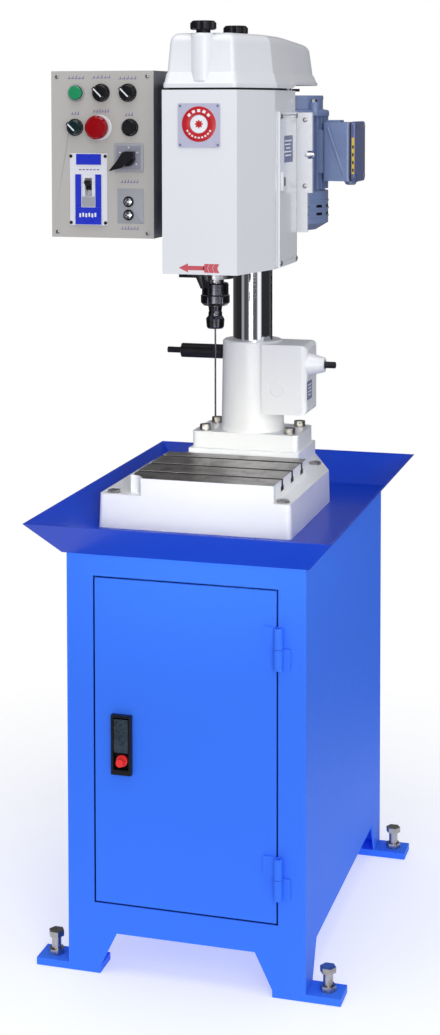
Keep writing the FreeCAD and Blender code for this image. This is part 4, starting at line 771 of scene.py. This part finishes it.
def upright_ring(name, profile, centre, material, body="head", steps=56):
    """Turned piece about an upright axis through the centre; heights are the frame's own."""
    mesh = bmesh.new()
    add_ring(mesh, profile, Vector((centre.x, centre.y, 0)), (0, 0, 1), steps)
    return piece(name, mesh, material, body)


def motor_trim():
    """Shield rim and band, lugs with their bolts, and the cowl's ribs, with black patches standing for its
    vents as painted shade.
    """
    low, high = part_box("motor_cowl")
    centre = (low + high) / 2
    shield_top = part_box("motor_frame")[1].z / MM
    rim_low = 1400
    upright_ring("shield_rim", [(66, rim_low), (76.6, rim_low), (77.4, rim_low + 1), (77.4, rim_low + 8),
                                (75.5, rim_low + 11), (66, rim_low + 13)], centre, "motor_paint")
    upright_ring("shield_band", [(60, shield_top - 7), (66.8, shield_top - 7), (66.8, shield_top - 2.4),
                                 (60, shield_top - 1.6)], centre, "motor_paint")
    lug = [(0, rim_low + 2), (9, rim_low + 2), (9, rim_low + 24), (7.5, rim_low + 26), (0, rim_low + 26)]
    bolt = [(0, rim_low + 25), (5.6, rim_low + 25), (5.6, rim_low + 29.5), (4.6, rim_low + 30.5),
            (0, rim_low + 30.5)]
    bolt_circle = 70 * MM
    lugs = bmesh.new()
    bolts = bmesh.new()
    for index in range(4):
        angle = math.pi / 2 * index - math.radians(32)
        place = Vector((centre.x + bolt_circle * math.cos(angle),
                        centre.y + bolt_circle * math.sin(angle), 0))
        add_ring(lugs, lug, place, (0, 0, 1), 20)
        add_ring(bolts, bolt, place, (0, 0, 1), 6)
    piece("shield_lugs", lugs, "motor_paint", "head")
    piece("shield_bolts", bolts, "zinc_steel", "head")
    cowl_low = low.z / MM
    ribs = bmesh.new()
    for height in (cowl_low + 24, cowl_low + 38, cowl_low + 52):
        add_ring(ribs, [(75, height), (77.0, height + 0.6), (77.0, height + 3.4), (75, height + 4)],
                 Vector((centre.x, centre.y, 0)), (0, 0, 1), 56)
    piece("cowl_ribs", ribs, "motor_paint", "head")
    # Black patches on the cowl stand in for the vent openings: painted shade of the vents.
    vent_shade = bmesh.new()
    vent_count = 14
    for index in range(vent_count):
        angle = 2 * math.pi * index / vent_count
        matrix = Matrix.Translation(centre) @ Matrix.Rotation(angle, 4, "Z")
        for height in (cowl_low + 30.5, cowl_low + 44.5):
            rise = height * MM - centre.z
            add_prism(vent_shade, rounded(16, 5, 2.2), 75.6, 76.2,
                      lambda u, v, out: matrix @ Vector((out * MM, u * MM, rise + v * MM)))
    piece("cowl_vent_shade", vent_shade, "black_plastic", "head")


def terminal_trim():
    """Connection box lid on its seal, with screws, a ribbed side, a gland and a yellow strip."""
    low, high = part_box("terminal_box")
    start = (high.x - MACHINE_X) / MM
    middle_y = (low.y + high.y) / 2 / MM
    middle_z = (low.z + high.z) / 2 / MM
    front = low.y / MM
    width = (high.y - low.y) / MM
    height = (high.z - low.z) / MM
    # The lid takes the darker copy of the motor paint, as painted shade.
    side_slab("terminal_lid", [shifted(rounded(width + 3, height + 3, 9), middle_y, middle_z)], start + 1.6,
              8.0, "terminal_lid_shaded_paint", edge=2.0)
    side_slab("terminal_lid_seal", [shifted(rounded(width + 1, height + 1, 8), middle_y, middle_z)],
              start - 0.6, 2.4, "rubber")
    cross_screws("terminal_screws", [(middle_y + sy * (width / 2 - 8), middle_z + sz * (height / 2 - 8))
                                     for sy in (-1, 1) for sz in (-1, 1)], start + 9.6, 3.2, "zinc_steel",
                 "side")
    strip = [[(start + 3.4, middle_z - 40), (start + 8.0, middle_z - 40), (start + 8.0, middle_z + 26),
              (start + 3.4, middle_z + 26)]]
    front_slab("terminal_strip", strip, front - 1.4, 0.3, "print_yellow")
    marks = [[(start + 4.2, z), (start + 7.2, z), (start + 7.2, z + 6), (start + 4.2, z + 6)]
             for z in (middle_z - 36, middle_z - 22, middle_z - 8, middle_z + 6)]
    front_slab("terminal_strip_marks", marks, front - 1.7, 0.12, "rubber")
    rib = [[(start - 44, middle_z + 46), (start - 40, middle_z + 46), (start - 9, middle_z - 46),
            (start - 13, middle_z - 46)]]
    front_slab("terminal_rib", rib, front + 2.6, 2.4, "motor_paint", edge=0.8)
    rail = [shifted(rounded(26, 5, 2), start - 38, middle_z + height / 2 + 1.4)]
    front_slab("terminal_rail", rail, middle_y + 20, 40, "motor_paint", edge=0.6)
    gland = bmesh.new()
    place = Vector((MACHINE_X + (start - 8) * MM, (low.y + high.y) / 2, low.z))
    add_ring(gland, [(0, 1), (12, 1), (12, -3), (10, -4), (10, -6), (7, -8), (0, -8)], place, (0, 0, 1), 24)
    piece("terminal_gland", gland, "motor_paint", "head")


def plate_trim():
    """Screws of the motor plate and the chrome adjuster in its notch."""
    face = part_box("motor_plate")[0].y / MM
    cross_screws("plate_screws", [(112, 1394), (112, 1275)], face, 4.5, "zinc_steel", "front")
    adjuster = bmesh.new()
    add_ring(adjuster, [(0, 0), (4.6, 0), (4.6, 16), (3.8, 17), (0, 17)], spot(112, face + 3, 1331),
             (1, 0, 0), 24)
    piece("plate_adjuster", adjuster, "bright_trim", "head")


def gear_tag():
    """Dark rating tag on the gear cover's right face."""
    face = (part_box("gearbox_cover")[1].x - MACHINE_X) / MM
    flat = min(face, 115.0)
    side_slab("gear_tag", [shifted(rounded(36, 34, 2), 160, 901)], flat, 0.6, "print_slate", "base")
    rows = [shifted(rounded(27 - 6 * (row % 2), 2.2, 0.5), 159, 911 - row * 6.2) for row in range(4)]
    side_slab("gear_tag_rows", rows, flat + 0.6, 0.12, "tape_white", "base")


# ---- ground table top ------------------------------------------------------------------------

TABLE_TOP = 787.0
SLOT_CENTRES = (-88, -17, 54)
SLOT_HALF = 6
SLOT_FOOT_HALF = 10.5


def table_skin():
    """Ground top of the work table, a thin layer between the slots and round the corner pocket."""
    left, right, front, back = -133.5, 125.5, -146.8, 91.5
    pocket_x, pocket_y, pocket_radius, pocket_steps = -134, -148, 27.6, 8
    pocket = []
    for step in range(1, pocket_steps):
        angle = math.pi / 2 * step / pocket_steps
        pocket.append((pocket_x + pocket_radius * math.cos(angle),
                       pocket_y + pocket_radius * math.sin(angle)))
    edges = [front]
    for centre in SLOT_CENTRES:
        edges += [centre - SLOT_HALF - 0.2, centre + SLOT_HALF + 0.2]
    edges.append(back)
    mesh = bmesh.new()
    for low, high in zip(edges[::2], edges[1::2]):
        points = [(left, low), (right, low), (right, high), (left, high)]
        if low == front:
            points = pocket + [(left, high), (right, high), (right, low), (pocket_x + pocket_radius, low)]
            points.reverse()
        add_prism(mesh, points, TABLE_TOP, TABLE_TOP + 0.15, spot)
    piece("table_skin", mesh, "machined_flat", "base")


def slot_section(inset):
    """Section (y, z) of a T-slot from its near lip round to its far one, inset from the walls."""
    neck, wide = SLOT_HALF - inset, SLOT_FOOT_HALF - inset
    lip, ledge, bottom = TABLE_TOP - 0.2, 776 - inset, 767 + inset
    return [(-neck, lip), (-neck, ledge), (-wide, ledge), (-wide, bottom), (wide, bottom),
            (wide, ledge), (neck, ledge), (neck, lip)]


def slot_shade_lining():
    """Machined faces inside the three T-slots, coloured far darker than the table top as painted shade in
    the slots.
    """
    mesh = bmesh.new()
    wall, skin = slot_section(0), slot_section(0.2)
    for centre in SLOT_CENTRES:
        for index in range(len(wall) - 1):
            quad = [wall[index], wall[index + 1], skin[index + 1], skin[index]]
            add_prism(mesh, shifted(quad, centre, 0), -133.8, 125.8, lambda y, z, x: spot(x, y, z))
    piece("slot_shade_lining", mesh, "slot_shade_iron", "base")


control_box_trim()
badge()
direction_arrow()
stop_bracket()
side_trim()
belt_lid()
motor_trim()
terminal_trim()
plate_trim()
gear_tag()
table_skin()
slot_shade_lining()


# ---- stage -----------------------------------------------------------------------------------

def floor():
    """Pale disc that fades into the background."""
    mesh = bmesh.new()
    steps = 96
    rings = []
    for radius in (0.4, 0.8, 1.2, 1.6):
        rings.append([mesh.verts.new((radius * math.cos(2 * math.pi * step / steps),
                                      radius * math.sin(2 * math.pi * step / steps), -0.0005))
                      for step in range(steps)])
    mesh.faces.new(rings[0])
    for ring, after in zip(rings, rings[1:]):
        join_rings(mesh, ring, after)
    data = bpy.data.meshes.new("floor")
    mesh.to_mesh(data)
    mesh.free()
    recipe = Recipe("floor_paint", (0.72, 0.72, 0.73, 1.0), 0.7)
    recipe.shader.inputs["Emission Color"].default_value = (1, 1, 1, 1)
    recipe.shader.inputs["Emission Strength"].default_value = 0.42
    distance = recipe.add("ShaderNodeVectorMath")
    distance.operation = "LENGTH"
    recipe.link(recipe.place, distance.inputs[0])
    recipe.link(recipe.between(distance.outputs["Value"], 0.6, 1.3, 1.0, 0.0),
                recipe.shader.inputs["Alpha"])
    recipe.bump(recipe.noise(300, 3), 0.00005)
    data.materials.append(recipe.material)
    item = bpy.data.objects.new("floor", data)
    bpy.context.scene.collection.objects.link(item)


# Brightness of the studio walls seen in gloss, by direction: degrees round from the camera's side.
WALLS = ((-180, 0.16), (-150, 0.08), (-110, 0.03), (-72, 0.02), (-66, 0.40), (-56, 0.40), (-50, 0.06),
         (-28, 0.10), (-21, 0.70), (-4, 0.75), (2, 0.10), (22, 0.12), (29, 1.15), (46, 1.15), (52, 0.03),
         (105, 0.03), (130, 0.10), (180, 0.16))


def calculate(tree, operation, *inputs):
    """Output of a math node whose inputs are numbers or the outputs of other nodes."""
    node = tree.nodes.new("ShaderNodeMath")
    node.operation = operation
    for socket, value in zip(node.inputs, inputs):
        if isinstance(value, float):
            socket.default_value = value
        else:
            tree.links.new(value, socket)
    return node.outputs["Value"]


def studio_walls(tree):
    """Brightness of the walls as a node output, from the direction looked in."""
    coordinates = tree.nodes.new("ShaderNodeTexCoord")
    parts = tree.nodes.new("ShaderNodeSeparateXYZ")
    tree.links.new(coordinates.outputs["Generated"], parts.inputs["Vector"])
    towards_camera = calculate(tree, "MULTIPLY", parts.outputs["Y"], -1.0)
    turned = calculate(tree, "ARCTAN2", parts.outputs["X"], towards_camera)
    around = calculate(tree, "SUBTRACT", turned, math.radians(CAMERA_YAW))
    wrapped = calculate(tree, "WRAP", around, math.pi, -math.pi)
    share = tree.nodes.new("ShaderNodeMapRange")
    share.inputs["From Min"].default_value = -math.pi
    share.inputs["From Max"].default_value = math.pi
    tree.links.new(wrapped, share.inputs["Value"])
    ramp = tree.nodes.new("ShaderNodeValToRGB")
    stops = ramp.color_ramp.elements
    for index, (angle, bright) in enumerate(WALLS):
        place = (angle + 180) / 360
        stop = stops[index] if index < 2 else stops.new(place)
        stop.position = place
        stop.color = (bright, bright, bright * 1.04, 1)
    tree.links.new(share.outputs["Result"], ramp.inputs["Fac"])
    return ramp.outputs["Color"]


def world():
    """White to the camera, even light for matt surfaces, and walls with dark gaps for gloss."""
    scene = bpy.context.scene
    scene.world = bpy.data.worlds.new("studio")
    scene.world.use_nodes = True
    tree = scene.world.node_tree
    tree.nodes.clear()
    out = tree.nodes.new("ShaderNodeOutputWorld")
    shown, lit, seen_in_gloss = (tree.nodes.new("ShaderNodeBackground") for _ in range(3))
    shown.inputs["Color"].default_value = (1, 1, 1, 1)
    shown.inputs["Strength"].default_value = 1.0
    lit.inputs["Color"].default_value = (0.93, 0.95, 1.0, 1)
    lit.inputs["Strength"].default_value = 0.60
    tree.links.new(studio_walls(tree), seen_in_gloss.inputs["Color"])
    path = tree.nodes.new("ShaderNodeLightPath")
    gloss_mix, mix = (tree.nodes.new("ShaderNodeMixShader") for _ in range(2))
    tree.links.new(path.outputs["Is Glossy Ray"], gloss_mix.inputs["Fac"])
    tree.links.new(lit.outputs["Background"], gloss_mix.inputs[1])
    tree.links.new(seen_in_gloss.outputs["Background"], gloss_mix.inputs[2])
    tree.links.new(path.outputs["Is Camera Ray"], mix.inputs["Fac"])
    tree.links.new(gloss_mix.outputs["Shader"], mix.inputs[1])
    tree.links.new(shown.outputs["Background"], mix.inputs[2])
    tree.links.new(mix.outputs["Shader"], out.inputs["Surface"])


def softbox(name, place, aim, size, power, spread=180, color=(1, 1, 1)):
    """Rectangular studio light at a place, turned to its aim; sizes in metres."""
    light = bpy.data.lights.new(name, "AREA")
    light.shape = "RECTANGLE"
    light.size, light.size_y = size
    light.energy = power
    light.spread = math.radians(spread)
    light.color = color
    item = bpy.data.objects.new(name, light)
    item.location = place
    item.rotation_euler = (Vector(aim) - Vector(place)).to_track_quat("-Z", "Y").to_euler()
    bpy.context.scene.collection.objects.link(item)


def camera():
    """Camera in front and a little to the right, level with the head."""
    data = bpy.data.cameras.new("camera")
    data.sensor_fit = "AUTO"
    data.sensor_width = 36
    data.lens = 61.85
    data.shift_y = -0.3025
    item = bpy.data.objects.new("camera", data)
    item.location = (0.8566, -2.9855, 1.4201)
    item.rotation_euler = (math.radians(86.81), math.radians(0.06), math.radians(CAMERA_YAW))
    bpy.context.scene.collection.objects.link(item)
    bpy.context.scene.camera = item


floor()
world()
camera()
softbox("key", (1.8, -3.4, 2.0), (0, 0, 0.8), (1.4, 2.6), 38)
softbox("front_low", (0.3, -3.7, 0.9), (0, 0, 0.65), (1.4, 1.0), 15)
softbox("right_fill", (3.4, -0.8, 1.9), (0, 0, 1.0), (1.0, 2.0), 7)
softbox("table_fill", (0.9, -1.9, 1.15), (0.02, -0.15, 0.79), (0.5, 0.3), 0.42, 16,
        (1.0, 0.96, 0.78))
softbox("top", (0.0, -0.8, 3.6), (0, 0, 0.8), (2.2, 2.2), 28)
bpy.context.scene.view_settings.view_transform = "Standard"

# Width of the rounded bevel on each node's sharp edges.
SOFT_EDGES = {"head_casting": 1.6, "table_base": 1.8, "column_support": 1.6, "gearbox_cover": 1.2,
              "chip_pan": 0.6, "door_panel": 0.5, "control_box": 1.0, "control_panel": 0.5,
              "terminal_box": 1.5, "motor_plate": 0.8, "side_cover": 0.6, "foot_plates": 0.8}
for node_name, width in SOFT_EDGES.items():
    soften(node_name, width)
